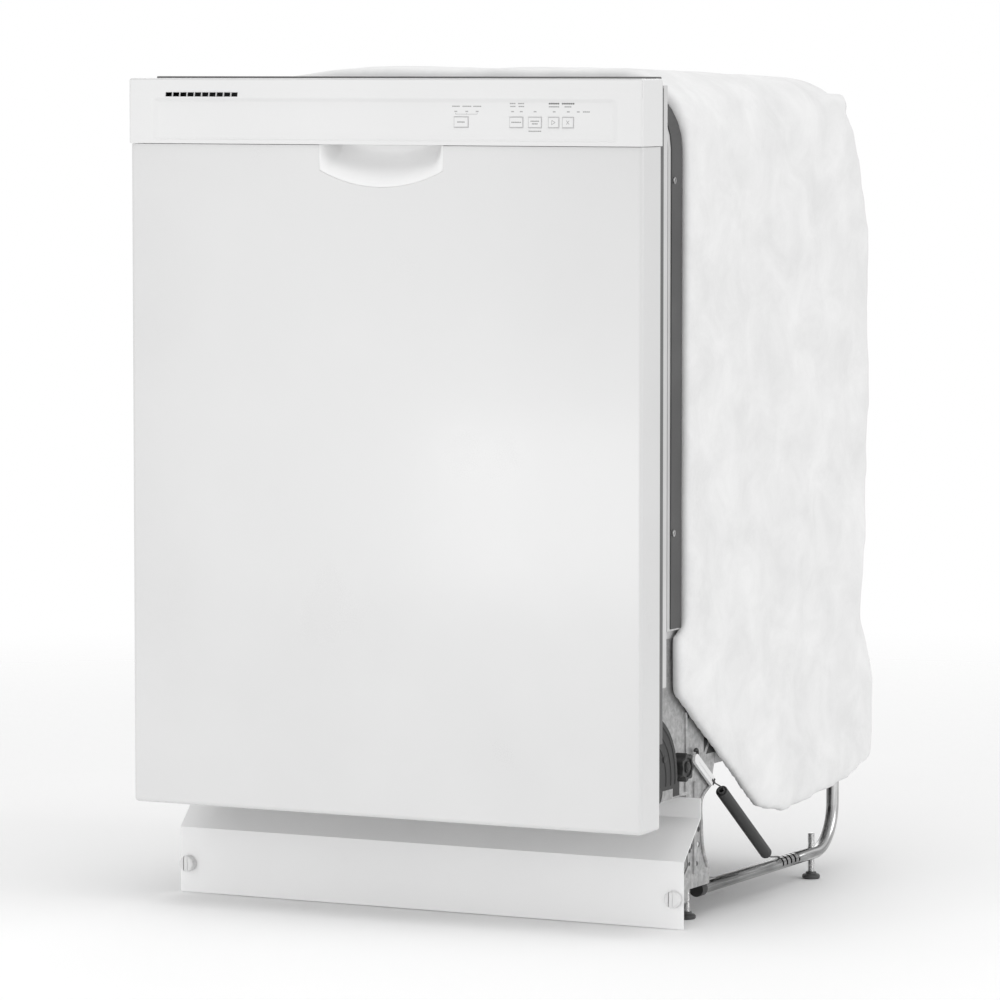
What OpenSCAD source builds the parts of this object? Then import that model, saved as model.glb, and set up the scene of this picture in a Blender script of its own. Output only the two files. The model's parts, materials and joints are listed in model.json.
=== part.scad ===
// Built-in dishwasher for a 24 inch kitchen opening, in millimetres.
// X runs to the right as seen from the front, Y runs to the back, Z runs up.
// The origin is on the floor under the middle of the machine.

/* [Door] */
// Width of the painted door panel
door_w = 604; // [600:1:604]
// Height of the door panel's lower edge above the floor
door_bottom = 111.5; // [108:0.5:114]
// Depth of the door panel's side flanges
door_flange = 43; // [40:1:44]
// Width of the hand pocket
pocket_w = 146; // [120:2:160]
// Depth of the hand pocket behind the panel
pocket_depth = 27; // [20:1:28]

/* [Console] */
// Width of the control console
console_w = 606; // [605:1:606]
// Height of the console's top above the floor
console_top = 887; // [885:0.5:888]
// Height of the seam between console and door panel
seam_z = 818; // [816:0.5:819]
// Height of each push pad
pad_h = 11.5; // [9:0.5:12]

/* [Tub] */
// Half of the tub's outer width
tub_hw = 284; // [283:0.5:284]
// Height of the tub's underside above the floor
tub_floor = 156; // [156:1:157]
// Height of the tub's roof above the floor
tub_top = 866; // [864:1:866]
// Thickness of the tub wall
tub_wall = 3; // [2.5:0.5:3]

/* [Hinge] */
// Distance of the hinge axis behind the door's front
hinge_d = 50; // [49:1:51]
// Height of the hinge axis above the floor
hinge_z = 150; // [149:1:151]
// Radius of the hinge arm's quadrant
quadrant_r = 70; // [66:1:70]
// Slope of the balance springs, in degrees below level
spring_slope = 35; // [34:1:36]

/* [Base] */
// Radius of the base tube
tube_r = 7; // [6.5:0.5:7]
// Radius of the bends in the base tube
bend_r = 50; // [45:1:52]
// Radius of a levelling foot's pad
pad_r = 10; // [9:0.5:12]

/* [Racks] */
// Half of each rack's width
rack_hw = 246; // [240:1:246]
// Half of each rack's depth
rack_hd = 200; // [190:1:200]
// Thickness of a rack wire
wire = 4; // [3:0.5:5]
// Number of wires between the sides of a rack floor
floor_wires = 13; // [9:1:17]

/* [Hidden] */
$fn = 48;

// Depths are given behind the door panel's front face
door_front = -309;
function dy(depth) = door_front + depth;

// Clearance of a shaft in its hole, on the radius
run = 0.05;
// Painted and galvanised sheet
sheet = 1.2;

// Door
door_hw = door_w / 2;
panel_corner = 5;
panel_t = 1;
return_d = 29;
panel_top = seam_z - 0.3;
pocket_sag = 44;
pocket_arc_r = 160;
skin = 2.5;

// Console, its recessed field and its pads
console_hw = console_w / 2;
console_front = -311;
console_back = -263.5;
field_hw = 275;
field_low = 822;
field_high = 866;
field_y = console_front + 2;
wall_back = field_y + skin;
pad_z = 842.25;
// Each pad: middle and width
cycle_pad = [94.4, 17.4];
options_pad = [158.2, 16.2];
lock_pad = [179.6, 16.1];
start_pad = [201.0, 13.1];
cancel_pad = [217.4, 13.7];
pads = [cycle_pad, options_pad, lock_pad, start_pad, cancel_pad];
light_z = 853.2;
lights = [88.2, 100.9, 113.0, 153.9, 163.9, 179.7, 201.6, 217.7, 229.1];
light_size = [3.2, 1.2];
slot_from = -258;
slot_to = -170;
slot_z = 870;
slot_h = 4.6;
slot_windows = 10;
slot_rib = 0.8;

// Inner door and what sits on it
liner_hw = 299;
liner_front = -261;
liner_back = -251;
liner_low = 200;
liner_high = 876;
lip_hw = 296;
lip_top = 889;
bulge_hw = 235;
bulge_back = -225;
bulge_low = 215;
bulge_high = 835;
cup_hw = 95;
cup_low = 480;
cup_high = 640;
lid_face = bulge_back + 3;

// Tub
tub_r = 60;
tub_low_r = 20;
seal_h = 8;
rim_front = -249;
rim_back = -239;
rim_hw = 297;
rim_low = 258;
rim_top = 880;
tub_back = 245;
collar_hw = 290;
collar_top = 886;
collar_r = 71;
collar_low = 314;
band_front = dy(93);
band_back = dy(118);
band_low = 316;
band_t = 1.5;
screw_y = dy(98);
screw_head_r = 3.4;
screw_heights = [416, 782];
ledge_top = 170.5;
float_at = [-190, -132];
sump_hole = 80;

// Blanket
blanket_hw = 299;
blanket_top = 897;
blanket_in = tub_hw + 1.5;
blanket_front = band_back + 0.5;

// Hinge brackets, pulley and link
plate_in = tub_hw;
plate_out = tub_hw + sheet;
plate_rear = 204;
anchor_holes = [158, 176];
anchor_r = 3;
hinge_pin_r = 5;
quadrant_at = [-20, 12];
wheel_at = [dy(120.5), 169];
wheel_pin_r = 4;
wheel_tip = 16;
wheel_root = 13;
wheel_teeth = 7;
link_from = [dy(156), 176];
link_len = 59;
link_hw = 4.5;
sleeve_from = 76;
sleeve_to = 220;
sleeve_r = 6.3;
spring_x = 292.5;
flange_z = 35;

// Base
tube_x = 272;
tube_z = 28;
tube_front = 203;
tube_rise = 562;
cross_z = 205;
tube_slots = [412, 423, 434, 445, 456];
foot_front = 175;
foot_rear = 503;
stud_r = 4;
stud_top = 51;
pad_top = 7;
toe_hw = 303;
toe_d = 101;
toe_low = 0.5;
toe_bend = 71;
toe_back = 142;
toe_top = 134;
// Right half of the tab on the toe kick's upper edge
toe_tab = [[274, toe_top - 1], [272, 151], [267, 155.5]];
fastener_x = 292;
fastener_z = 32;
fastener_stem = 5;

// Washing system
arm_r = 200;
lower_arm_z = 188;
upper_arm_z = 530;
arm_t = 10;
lower_post_r = 12;
upper_post_r = 8;
filter_at = [-42, -22];
motor_z = 108;
pump_z = 102;
sump_r = 88;
sump_wall = 4;

// Racks
wall_inset = 12;
upper_floor_z = 572;
upper_wall_top = 662;
lower_floor_z = 225;
lower_wall_top = 345;
rail_z = 600;
rail_h = 12;
rail_in = 265;
rail_out = 271;
wheel_z = 187;
roller_r = 14;
axle_r = 4;
front_wheel_y = -110;
rear_wheel_y = 122;
basket_x = 172;
basket_w = 66;
basket_y = -170;
basket_len = 330;
basket_low = 232;
basket_high = 352;
cells = 5;

// A box from its low corner to its high corner
module span(low, high) {
    translate(low) cube(high - low);
}

// A round bar along X, along Y or along Z
module rod_x(x0, x1, y, z, r) {
    translate([x0, y, z]) rotate([0, 90, 0]) cylinder(r = r, h = x1 - x0);
}
module rod_y(x, y0, y1, z, r) {
    translate([x, y0, z]) rotate([-90, 0, 0]) cylinder(r = r, h = y1 - y0);
}
module rod_z(x, y, z0, z1, r) {
    translate([x, y, z0]) cylinder(r = r, h = z1 - z0);
}

// A (Y, Z) outline drawn out along X, and an (X, Z) outline along Y
module along_x(x0, x1) {
    translate([x0, 0, 0]) rotate([90, 0, 90]) linear_extrude(x1 - x0) children();
}
module along_y(y0, y1) {
    translate([0, y1, 0]) rotate([90, 0, 0]) linear_extrude(y1 - y0) children();
}

// The right-hand piece and its mirror image
module both_sides() {
    children();
    mirror([1, 0, 0]) children();
}

// Points along an arc, and the outline of an upright box with round corners,
// of radius r above and low_r below
function arc(c, r, a0, a1, n = 8) =
    [for (i = [0:n]) c + r * [cos(a0 + (a1 - a0) * i / n), sin(a0 + (a1 - a0) * i / n)]];
function rounded(hw, low, high, r, low_r) = concat(
    arc([hw - r, high - r], r, 0, 90), arc([r - hw, high - r], r, 90, 180),
    arc([low_r - hw, low + low_r], low_r, 180, 270), arc([hw - low_r, low + low_r], low_r, 270, 360)
);

// ---------------------------------------------------------------- door

// Outline of the hand pocket: straight sides, a shallow arc below
function pocket_outline(grow) =
    let (hw = pocket_w / 2 + grow, low = panel_top - pocket_sag - grow,
        sweep = asin(hw / pocket_arc_r))
    concat([[hw, panel_top], [-hw, panel_top]],
        arc([0, low + pocket_arc_r], pocket_arc_r, 270 - sweep, 270 + sweep, 12));

// Half-open U of the panel seen from above, thinner by inset
function panel_outline(inset, back) =
    let (hw = door_hw - inset, r = panel_corner - inset, y = door_front + inset)
    concat([[hw, back], [-hw, back]],
        arc([r - hw, y + r], r, 180, 270, 6), arc([hw - r, y + r], r, 270, 360, 6));

module door_panel() {
    back = dy(door_flange);
    cup_back = dy(pocket_depth + skin + 2);
    notch_hw = pocket_w / 2 + skin + 0.2;
    color("whitesmoke") difference() {
        translate([0, 0, door_bottom]) linear_extrude(panel_top - door_bottom)
            polygon(panel_outline(0, back));
        translate([0, 0, door_bottom + panel_t]) linear_extrude(panel_top - door_bottom - 2 * panel_t)
            polygon(panel_outline(panel_t, back + 1));
        along_y(door_front - 1, cup_back) polygon(pocket_outline(0));
        // The lower return is cut back to clear the hinge brackets
        span([panel_t - door_hw, dy(return_d), door_bottom - 1],
            [door_hw - panel_t, back + 1, door_bottom + panel_t + 1]);
        // The top return is cut back round the pocket's walls
        span([-pocket_w / 2, door_front - 1, panel_top - 2], [pocket_w / 2, cup_back, panel_top + 1]);
        span([-notch_hw, dy(panel_t), panel_top - 2], [notch_hw, cup_back, panel_top + 1]);
    }
}

module handle_pocket() {
    front = dy(panel_t);
    back = front + pocket_depth + skin;
    color("white") difference() {
        along_y(front, back) polygon(pocket_outline(skin));
        along_y(front - 1, back - skin) polygon(pocket_outline(0));
    }
}

module console() {
    color("white") difference() {
        span([-console_hw, console_front, seam_z], [console_hw, console_back, console_top]);
        span([skin - console_hw, wall_back, seam_z + skin],
            [console_hw - skin, console_back + 1, console_top - skin]);
        // Recessed field
        span([-field_hw, console_front - 1, field_low], [field_hw, field_y, field_high]);
        for (p = pads)
            span([p[0] - p[1] / 2, console_front, pad_z - pad_h / 2],
                [p[0] + p[1] / 2, wall_back + 1, pad_z + pad_h / 2]);
        for (x = lights)
            translate([x, wall_back - 2, light_z]) cube([light_size[0], 8, light_size[1]], center = true);
        // Vent windows
        pitch = (slot_to - slot_from + slot_rib) / slot_windows;
        for (i = [0:slot_windows - 1])
            span([slot_from + i * pitch, console_front - 1, slot_z - slot_h / 2],
                [slot_from + (i + 1) * pitch - slot_rib, wall_back + 1, slot_z + slot_h / 2]);
    }
}

module vent_duct() {
    color("black") difference() {
        span([slot_from - 4, wall_back, slot_z - 6], [slot_to + 4, wall_back + 22, slot_z + 6]);
        span([slot_from - 2, wall_back - 1, slot_z - 4], [slot_to + 2, wall_back + 20, slot_z + 4]);
    }
}

module indicator_lights() {
    color("silver") for (x = lights)
        span([x - light_size[0] / 2, field_y, light_z - light_size[1] / 2],
            [x + light_size[0] / 2, wall_back + 4, light_z + light_size[1] / 2]);
}

module control_board() {
    color("dimgray") union() {
        span([70, wall_back + 4, 827], [246, wall_back + 18, 880]);
        span([-20, wall_back + 12, 860], [70, wall_back + 18, 880]);
        for (x = [-10, 20, 50]) span([x, wall_back + 7, 863], [x + 14, wall_back + 12, 877]);
    }
}

// A push pad with a flange behind the console wall
module push_pad(pad) {
    gap = 0.35;
    hw = pad[1] / 2 - gap;
    hh = pad_h / 2 - gap;
    color("white") union() {
        span([pad[0] - hw, field_y - 0.6, pad_z - hh], [pad[0] + hw, wall_back + 0.4, pad_z + hh]);
        span([pad[0] - hw - 1, wall_back + 0.4, pad_z - hh - 1],
            [pad[0] + hw + 1, wall_back + 1.4, pad_z + hh + 1]);
        span([pad[0] - 2, wall_back + 1.4, pad_z - 2], [pad[0] + 2, wall_back + 2.4, pad_z + 2]);
    }
}
module cycle_button() { push_pad(cycle_pad); }
module options_button() { push_pad(options_pad); }
module lock_button() { push_pad(lock_pad); }
module start_button() { push_pad(start_pad); }
module cancel_button() { push_pad(cancel_pad); }

module latch_body() {
    color("dimgray") difference() {
        span([-40, -288, 832], [40, -261.5, 869.5]);
        span([-26, -280, 840], [26, -261, 866]);
    }
}

module inner_door() {
    color("gray") difference() {
        union() {
            span([-liner_hw, liner_front, liner_low], [liner_hw, liner_back, liner_high]);
            span([-bulge_hw, liner_back, bulge_low], [bulge_hw, bulge_back, bulge_high]);
            // Lip behind the console's top edge
            span([-lip_hw, console_back + 0.2, liner_high - 6], [lip_hw, liner_back, lip_top]);
        }
        span([skin - liner_hw, liner_front - 1, liner_low + skin],
            [liner_hw - skin, liner_back - skin, liner_high - skin]);
        span([skin - bulge_hw, liner_front - 1, bulge_low + skin],
            [bulge_hw - skin, bulge_back - skin, bulge_high - skin]);
        // Lower corners cut away round the hinges
        both_sides() span([272, liner_front - 1, liner_low - 1], [liner_hw + 1, liner_back + 1, 255]);
        // Dispenser and latch openings
        span([-cup_hw, liner_front, cup_low], [cup_hw, bulge_back + 1, cup_high]);
        span([-28, liner_front - 1, 838], [28, liner_back + 1, 868]);
    }
}

module door_pad() {
    color("dimgray") span([-275, dy(1), 130], [275, dy(39), 740]);
}

// Black arms: a strap up the door's side and a quadrant round the hinge pin
module hinge_arms() {
    x0 = 287;
    x1 = 296;
    y = dy(hinge_d);
    color("black") both_sides() difference() {
        union() {
            intersection() {
                rod_x(x0, x1, y + quadrant_at[0], hinge_z + quadrant_at[1], quadrant_r);
                span([x0, y - 1, hinge_z], [x1, y + quadrant_r, hinge_z + 2 * quadrant_r]);
            }
            span([x0, dy(20), hinge_z - 28], [x1, y, hinge_z + 40]);
            rod_x(x0, x1, y, hinge_z, 14);
            span([x0, dy(20), hinge_z + 40], [x1, dy(42), 420]);
            for (z = [240, 400]) span([x1, dy(24), z - 8], [door_hw - 1, dy(38), z + 8]);
        }
        rod_x(x0 - 1, x1 + 1, y, hinge_z, hinge_pin_r + run);
    }
}

module dispenser() {
    color("gray") difference() {
        union() {
            span([0.5 - cup_hw, -268, cup_low + 0.5], [cup_hw - 0.5, lid_face, cup_high - 0.5]);
            span([-cup_hw - 5, bulge_back, cup_low - 5], [cup_hw + 5, lid_face, cup_high + 5]);
        }
        // Detergent cup, and the rinse aid filler's round seat
        span([-78, -262, 500], [-2, lid_face + 1, 600]);
        rod_y(48, lid_face - 8, lid_face + 1, 560, 18);
    }
}

module dispenser_lid() {
    color("darkgray") union() {
        span([-82, lid_face + 0.4, 496], [2, lid_face + 3, 604]);
        for (z = [530, 545, 560]) span([-70, lid_face + 3, z], [-40, lid_face + 4.5, z + 4]);
    }
}

module rinse_cap() {
    color("silver") union() {
        rod_y(48, lid_face - 7.5, lid_face + 1, 560, 17.6);
        span([34, lid_face + 1, 557], [62, lid_face + 5, 563]);
    }
}

// ---------------------------------------------------------------- tub

// Outline inside the tub, a distance t in from its outer walls
function tub_inside(t, low) = rounded(tub_hw - t, low, tub_top - t, tub_r - t, tub_low_r - t);

// Outline of the raised collar under the wrap band, larger by grow
function collar_outline(grow) =
    rounded(collar_hw + grow, tub_floor, collar_top + grow, collar_r + grow, collar_r);

module tub() {
    color("lightgray") difference() {
        union() {
            along_y(rim_front, tub_back) polygon(rounded(tub_hw, tub_floor, tub_top, tub_r, tub_low_r));
            span([-rim_hw, rim_front, rim_low], [rim_hw, rim_back, rim_top]);
            intersection() {
                along_y(band_front - 6, band_back - 0.5)
                    polygon(collar_outline(0));
                span([-collar_hw - 1, band_front - 7, collar_low],
                    [collar_hw + 1, band_back, collar_top + 1]);
            }
        }
        difference() {
            along_y(rim_front - 1, tub_back - tub_wall) polygon(tub_inside(tub_wall, tub_floor + tub_wall));
            // Ledges that carry the lower rack's wheels
            both_sides() span([246, rim_front + 20, tub_floor], [tub_hw, tub_back, ledge_top]);
        }
        rod_z(0, 0, tub_floor - 1, tub_floor + tub_wall + 1, sump_hole);
        rod_z(float_at[0], float_at[1], tub_floor - 1, tub_floor + tub_wall + 1, 5 + run);
        both_sides() for (z = screw_heights) rod_x(collar_hw - 5, collar_hw + 1, screw_y, z, 2.2);
    }
}

module door_gasket() {
    color("dimgray") intersection() {
        difference() {
            along_y(rim_front - 1.6, rim_back) polygon(tub_inside(tub_wall, tub_floor));
            along_y(rim_front - 3, rim_back + 1) polygon(tub_inside(tub_wall + seal_h, tub_floor));
        }
        span([-tub_hw, rim_front - 4, 225], [tub_hw, rim_back + 2, tub_top]);
    }
}

module wrap_band() {
    color("dimgray") difference() {
        intersection() {
            difference() {
                along_y(band_front, band_back)
                    polygon(collar_outline(band_t));
                along_y(band_front - 1, band_back + 1) polygon(collar_outline(0));
            }
            span([-300, band_front - 1, band_low], [300, band_back + 1, collar_top + 5]);
        }
        both_sides() for (z = screw_heights) rod_x(collar_hw - 1, collar_hw + band_t + 1, screw_y, z, 2.2);
    }
}

module band_screws() {
    color("silver") both_sides() for (z = screw_heights) {
        rod_x(collar_hw - 4, collar_hw + band_t, screw_y, z, 2);
        rod_x(collar_hw + band_t, collar_hw + band_t + 2, screw_y, z, screw_head_r);
    }
}

// Side outline of the insulation blanket, from the front top corner round
function blanket_profile() = concat(
    [[blanket_front, 930], [blanket_front, 312], [dy(100), 312], [dy(101), 248], [dy(311), 102]],
    arc([dy(374), 104], 12, 250, 290, 3),
    [[dy(524), 106], [dy(618), 123], [dy(620), 165], [dy(620), 211], [dy(610), 245],
     [dy(586), 285], [dy(588), 344], [dy(605), 579], [dy(602), 720], [dy(588), 816]],
    arc([dy(538), 847], 50, 10, 90, 6)
);

module blanket() {
    color("white") difference() {
        intersection() {
            along_y(-260, 320) polygon(rounded(blanket_hw, -60, blanket_top, 74, 74));
            along_x(-310, 310) polygon(blanket_profile());
        }
        along_y(-270, tub_back + 1.5)
            polygon(rounded(blanket_in, -90, tub_top + 1.5, tub_r + 1.5, tub_r));
        span([-blanket_in, tub_back, -10], [blanket_in, dy(tube_rise) + tube_r + 3, cross_z + 17]);
    }
}

// Plate on the tub's rim with a hooked loop that reaches into the door's latch
module latch_strike() {
    low = 851;
    root = 863.5;
    color("silver") union() {
        span([-22, rim_front - 1.5, root], [22, rim_front, 878]);
        for (x = [-16, 16]) {
            span([x - 2, liner_back - 3, root], [x + 2, rim_front, root + 3.5]);
            span([x - 2, liner_back - 3, low], [x + 2, liner_back, root + 3.5]);
            span([x - 2, -270, low], [x + 2, liner_back, low + 4]);
        }
        span([-18, -272, low], [18, -268, low + 4]);
    }
}

module supply_tube() {
    color("gray") union() {
        span([-9, 76, 161], [9, 226, 169]);
        span([-11, 210, 161], [11, 232, 548]);
        span([-11, 202.5, 540], [11, 232, 562]);
        for (z = [300, 500]) span([-14, 232, z], [14, tub_back - tub_wall, z + 12]);
    }
}

// ---------------------------------------------------------------- hinges and base

// Side outline of a hinge bracket with its front leg
bracket_profile = [
    [dy(38), 136], [dy(145), 136], [dy(145), 104], [dy(150), 60], [dy(140), 50], [dy(140), flange_z],
    [dy(plate_rear), flange_z], [dy(plate_rear), 52], [dy(188), 72], [dy(184), 108], [dy(184), 128],
    [dy(208), 140], [dy(219), 172], [dy(219), 215], [dy(190), 305], [dy(72), 305], [dy(72), 222],
    [dy(52), 170], [dy(38), 165]
];

module hinge_bracket() {
    y = dy(hinge_d);
    tab = dy(toe_d) + 2.5;
    color("silver") difference() {
        union() {
            along_x(plate_in, plate_out) polygon(bracket_profile);
            rod_x(plate_in, 297.5, y, hinge_z, hinge_pin_r);
            rod_x(plate_in, 299.2, wheel_at[0], wheel_at[1], wheel_pin_r);
            // Foot shelf with its tongue on the base tube, and the arm that holds the toe kick
            span([262, dy(152), flange_z], [plate_out, dy(plate_rear), flange_z + sheet]);
            span([tube_x - 4, dy(plate_rear - 4), flange_z], [tube_x + 4, dy(240), flange_z + sheet]);
            span([plate_in, tab, 22], [plate_out, dy(150), 44]);
            span([plate_in, tab, 22], [299, tab + 1.5, 44]);
        }
        rod_z(tube_x, dy(foot_front), flange_z - 1, flange_z + 3, stud_r + run);
        rod_y(fastener_x, tab - 1, tab + 3, fastener_z, fastener_stem + run);
        // Holes in the leg for a side anchor
        for (d = anchor_holes) rod_x(plate_in - 1, plate_out + 1, dy(d), 80, anchor_r);
    }
}
module hinge_bracket_right() { hinge_bracket(); }
module hinge_bracket_left() { mirror([1, 0, 0]) hinge_bracket(); }

// Centre line of the base tube's right half as bars and bends of radius r
module tube_half(r) {
    rod_y(tube_x, dy(tube_front), dy(tube_rise - bend_r), tube_z, r);
    translate([tube_x, dy(tube_rise - bend_r), tube_z + bend_r]) rotate([0, 90, 0])
        rotate_extrude(angle = 90) translate([bend_r, 0]) circle(r);
    rod_z(tube_x, dy(tube_rise), tube_z + bend_r, cross_z - bend_r, r);
    translate([tube_x - bend_r, dy(tube_rise), cross_z - bend_r]) rotate([90, 0, 0])
        rotate_extrude(angle = 90) translate([bend_r, 0]) circle(r);
    rod_x(0, tube_x - bend_r, dy(tube_rise), cross_z, r);
}

module base_tube() {
    color("lightsteelblue") difference() {
        both_sides() tube_half(tube_r);
        both_sides() {
            // The straight runs are bored out as far as the bends
            rod_y(tube_x, dy(tube_front) - 1, dy(tube_rise - bend_r - 4), tube_z, tube_r - sheet);
            rod_z(tube_x, dy(foot_rear), tube_z - 10, tube_z + 10, stud_r + run);
            for (d = tube_slots)
                span([tube_x - 4, dy(d) - 1.7, tube_z + 2], [tube_x + 4, dy(d) + 1.7, tube_z + 10]);
        }
    }
}

module tube_caps() {
    color("black") both_sides() difference() {
        rod_y(tube_x, dy(tube_front - 4), dy(tube_front + 8), tube_z, tube_r + 1.2);
        rod_y(tube_x, dy(tube_front), dy(tube_front + 9), tube_z, tube_r);
        span([tube_x - 12, dy(tube_front - 5), flange_z], [tube_x + 12, dy(tube_front + 9), flange_z + 3]);
    }
}

module foot(x, depth) {
    color("dimgray") union() {
        rod_z(x, dy(depth), 0, pad_top, pad_r);
        rod_z(x, dy(depth), pad_top, stud_top, stud_r);
    }
}
module foot_front_left() { foot(-tube_x, foot_front); }
module foot_front_right() { foot(tube_x, foot_front); }
module foot_rear_left() { foot(-tube_x, foot_rear); }
module foot_rear_right() { foot(tube_x, foot_rear); }

module toe_kick() {
    y0 = dy(toe_d);
    y1 = dy(toe_back);
    rise = toe_bend + toe_back - toe_d;
    color("whitesmoke") difference() {
        union() {
            along_x(-toe_hw, toe_hw) polygon([
                [y0, toe_low], [y0 + sheet, toe_low], [y0 + sheet, toe_bend], [y1 + sheet, rise],
                [y1 + sheet, toe_top], [y1, toe_top], [y1, rise + 0.6], [y0, toe_bend + 0.6]
            ]);
            along_y(y1, y1 + sheet) polygon(concat(toe_tab, [for (i = [2:-1:0]) [-toe_tab[i][0], toe_tab[i][1]]]));
        }
        for (x = [-fastener_x, fastener_x]) rod_y(x, y0 - 1, y0 + 3, fastener_z, fastener_stem + run);
    }
}

module toe_fastener(x) {
    head_r = 9;
    y0 = dy(toe_d);
    color("white") difference() {
        union() {
            rod_y(x, y0 - 8, y0 - 0.4, fastener_z, head_r);
            rod_y(x, y0 - 0.4, y0 + 8, fastener_z, fastener_stem);
        }
        span([x - 1, y0 - 9, fastener_z - 12], [x + 1, y0 - 5, fastener_z + 12]);
    }
}
module toe_fastener_left() { toe_fastener(-fastener_x); }
module toe_fastener_right() { toe_fastener(fastener_x); }

module crossmember() {
    y = dy(toe_back) + sheet + 0.3;
    color("silver") difference() {
        union() {
            span([-plate_in, y, 60], [plate_in, y + sheet, tub_floor]);
            span([-plate_in, y, tub_floor - sheet], [plate_in, y + 20, tub_floor]);
        }
        for (x = [-130, 130]) span([x - 40, y - 1, 80], [x + 40, y + 3, 120]);
    }
}

// Lobed wheels outside the brackets that guide the balance links
module pulley_wheels() {
    color("black") both_sides() difference() {
        along_x(286.2, 299) polygon([for (i = [0:2 * wheel_teeth - 1])
            let (a = 180 * i / wheel_teeth, r = i % 2 == 0 ? wheel_tip : wheel_root)
            [wheel_at[0] + r * cos(a), wheel_at[1] + r * sin(a)]]);
        rod_x(285, 300, wheel_at[0], wheel_at[1], wheel_pin_r + run);
    }
}

// Turns a piece drawn along Y onto the spring's slope
module on_slope() {
    translate([0, link_from[0], link_from[1]]) rotate([-spring_slope, 0, 0]) children();
}

module balance_links() {
    color("white") both_sides() on_slope() difference() {
        span([287.5, 0, -link_hw], [291, link_len, link_hw]);
        for (s = [5, link_len - 5]) rod_x(287, 292, s, 0, 1.6);
    }
}

module balance_springs() {
    x = spring_x;
    end = [link_from[0] + sleeve_to * cos(spring_slope), link_from[1] - sleeve_to * sin(spring_slope)];
    hook_z = end[1];
    slot_y = dy(tube_slots[0]);
    color("black") both_sides() {
        on_slope() {
            rod_y(x, sleeve_from, sleeve_to, 0, sleeve_r);
            span([x - 1, link_len + 1, -1], [x + 1, sleeve_from, 1]);
        }
        span([x - 1.2, end[0] - 3, hook_z - 1.2], [x + 1.2, slot_y + 1.2, hook_z + 1.2]);
        span([tube_x - 1, slot_y - 1.2, hook_z - 1.2], [x, slot_y + 1.2, hook_z + 1.2]);
        span([tube_x - 1, slot_y - 1.2, tube_z], [tube_x + 1.4, slot_y + 1.2, hook_z]);
    }
}

// ---------------------------------------------------------------- washing system

module sump() {
    color("gray") difference() {
        union() {
            difference() {
                rod_z(0, 0, 72, tub_floor, sump_r);
                rod_z(0, 0, 75, tub_floor + 1, sump_r - sump_wall);
            }
            rod_z(0, 0, tub_floor - 6, tub_floor, 85);
            rod_z(0, 0, tub_floor - 2, tub_floor + 4, sump_hole - 0.3);
            rod_z(0, 0, 75, lower_arm_z - 0.5, 18);
            rod_z(0, 0, 75, lower_arm_z + arm_t + 4, lower_post_r);
        }
        rod_z(filter_at[0], filter_at[1], tub_floor - 7, tub_floor + 5, 22);
    }
}

module fine_filter() {
    color("silver") union() {
        rod_z(filter_at[0], filter_at[1], 110, 164, 21);
        rod_z(filter_at[0], filter_at[1], 164, 167, 14);
        span([filter_at[0] - 12, filter_at[1] - 3, 167], [filter_at[0] + 12, filter_at[1] + 3, 178]);
    }
}

module float() {
    color("darkgray") union() {
        rod_z(float_at[0], float_at[1], 140, 164, 5);
        rod_z(float_at[0], float_at[1], 164, 184, 16);
    }
}

module heating_element() {
    color("dimgray") union() {
        translate([0, 0, 176]) rotate_extrude() translate([150, 0]) circle(4);
        for (x = [-14, 14]) rod_z(x, -150, tub_floor + tub_wall, 176, 3.5);
        for (x = [-120, 120]) rod_z(x, 90, tub_floor + tub_wall, 176, 3.5);
    }
}

// The round of the sump, cut out of the motor's and the pump's necks
module sump_seat() {
    rod_z(0, 0, 60, 150, sump_r + 0.2);
}

module wash_motor() {
    color("dimgray") difference() {
        union() {
            rod_x(80, 102, 0, motor_z, 32);
            rod_x(102, 206, 0, motor_z, 45);
            rod_x(206, 216, 0, motor_z, 20);
            span([120, -30, 48], [190, 30, motor_z]);
        }
        sump_seat();
    }
}

module drain_pump() {
    color("dimgray") difference() {
        union() {
            rod_x(-150, -80, 0, pump_z, 28);
            rod_y(-124, 0, 32, pump_z, 14);
            rod_y(-124, 32, 62, pump_z, 11);
        }
        sump_seat();
    }
}

module inlet_valve() {
    y = dy(toe_back) + 2 * sheet + 0.3;
    color("whitesmoke") union() {
        span([-262, y, 62], [-202, y + 48, 108]);
        rod_z(-232, y + 24, 108, 140, 18);
        rod_y(-232, y + 48, y + 68, 84, 10);
    }
}

module junction_box() {
    y = dy(toe_back) + 2 * sheet + 0.3;
    color("silver") difference() {
        span([196, y, 46], [260, y + 70, 106]);
        span([197.5, y + 1.5, 47.5], [258.5, y + 68.5, 104.5]);
        rod_y(228, y + 60, y + 71, 76, 11.1);
    }
}

// A spray arm with a bored hub, turning about Z
module spray_arm(z, bore) {
    color("gray") translate([0, 0, z]) difference() {
        union() {
            linear_extrude(arm_t) polygon([
                [-arm_r, -9], [0, -24], [arm_r, -9], [arm_r, 9], [0, 24], [-arm_r, 9]
            ]);
            cylinder(r = 28, h = arm_t);
        }
        translate([0, 0, -1]) cylinder(r = bore + run, h = arm_t + 2);
        for (i = [-4:4]) if (abs(i) > 1)
            translate([i * arm_r / 4.5, 0, arm_t - 2]) cube([5, 3, 5], center = true);
    }
}
module lower_spray_arm() { spray_arm(lower_arm_z, lower_post_r); }
module upper_spray_arm() { spray_arm(upper_arm_z, upper_post_r); }

// ---------------------------------------------------------------- racks

module rail_guides() {
    color("gray") both_sides() for (y = [-215, -60]) difference() {
        span([266, y, rail_z - 9], [tub_hw - tub_wall, y + 30, rail_z + rail_h + 9]);
        span([265, y - 1, rail_z - 0.5], [rail_out + 0.5, y + 31, rail_z + rail_h + 0.5]);
    }
}

module rack_rails() {
    color("silver") both_sides() span([rail_in, -215, rail_z], [rail_out, 215, rail_z + rail_h]);
}

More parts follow.
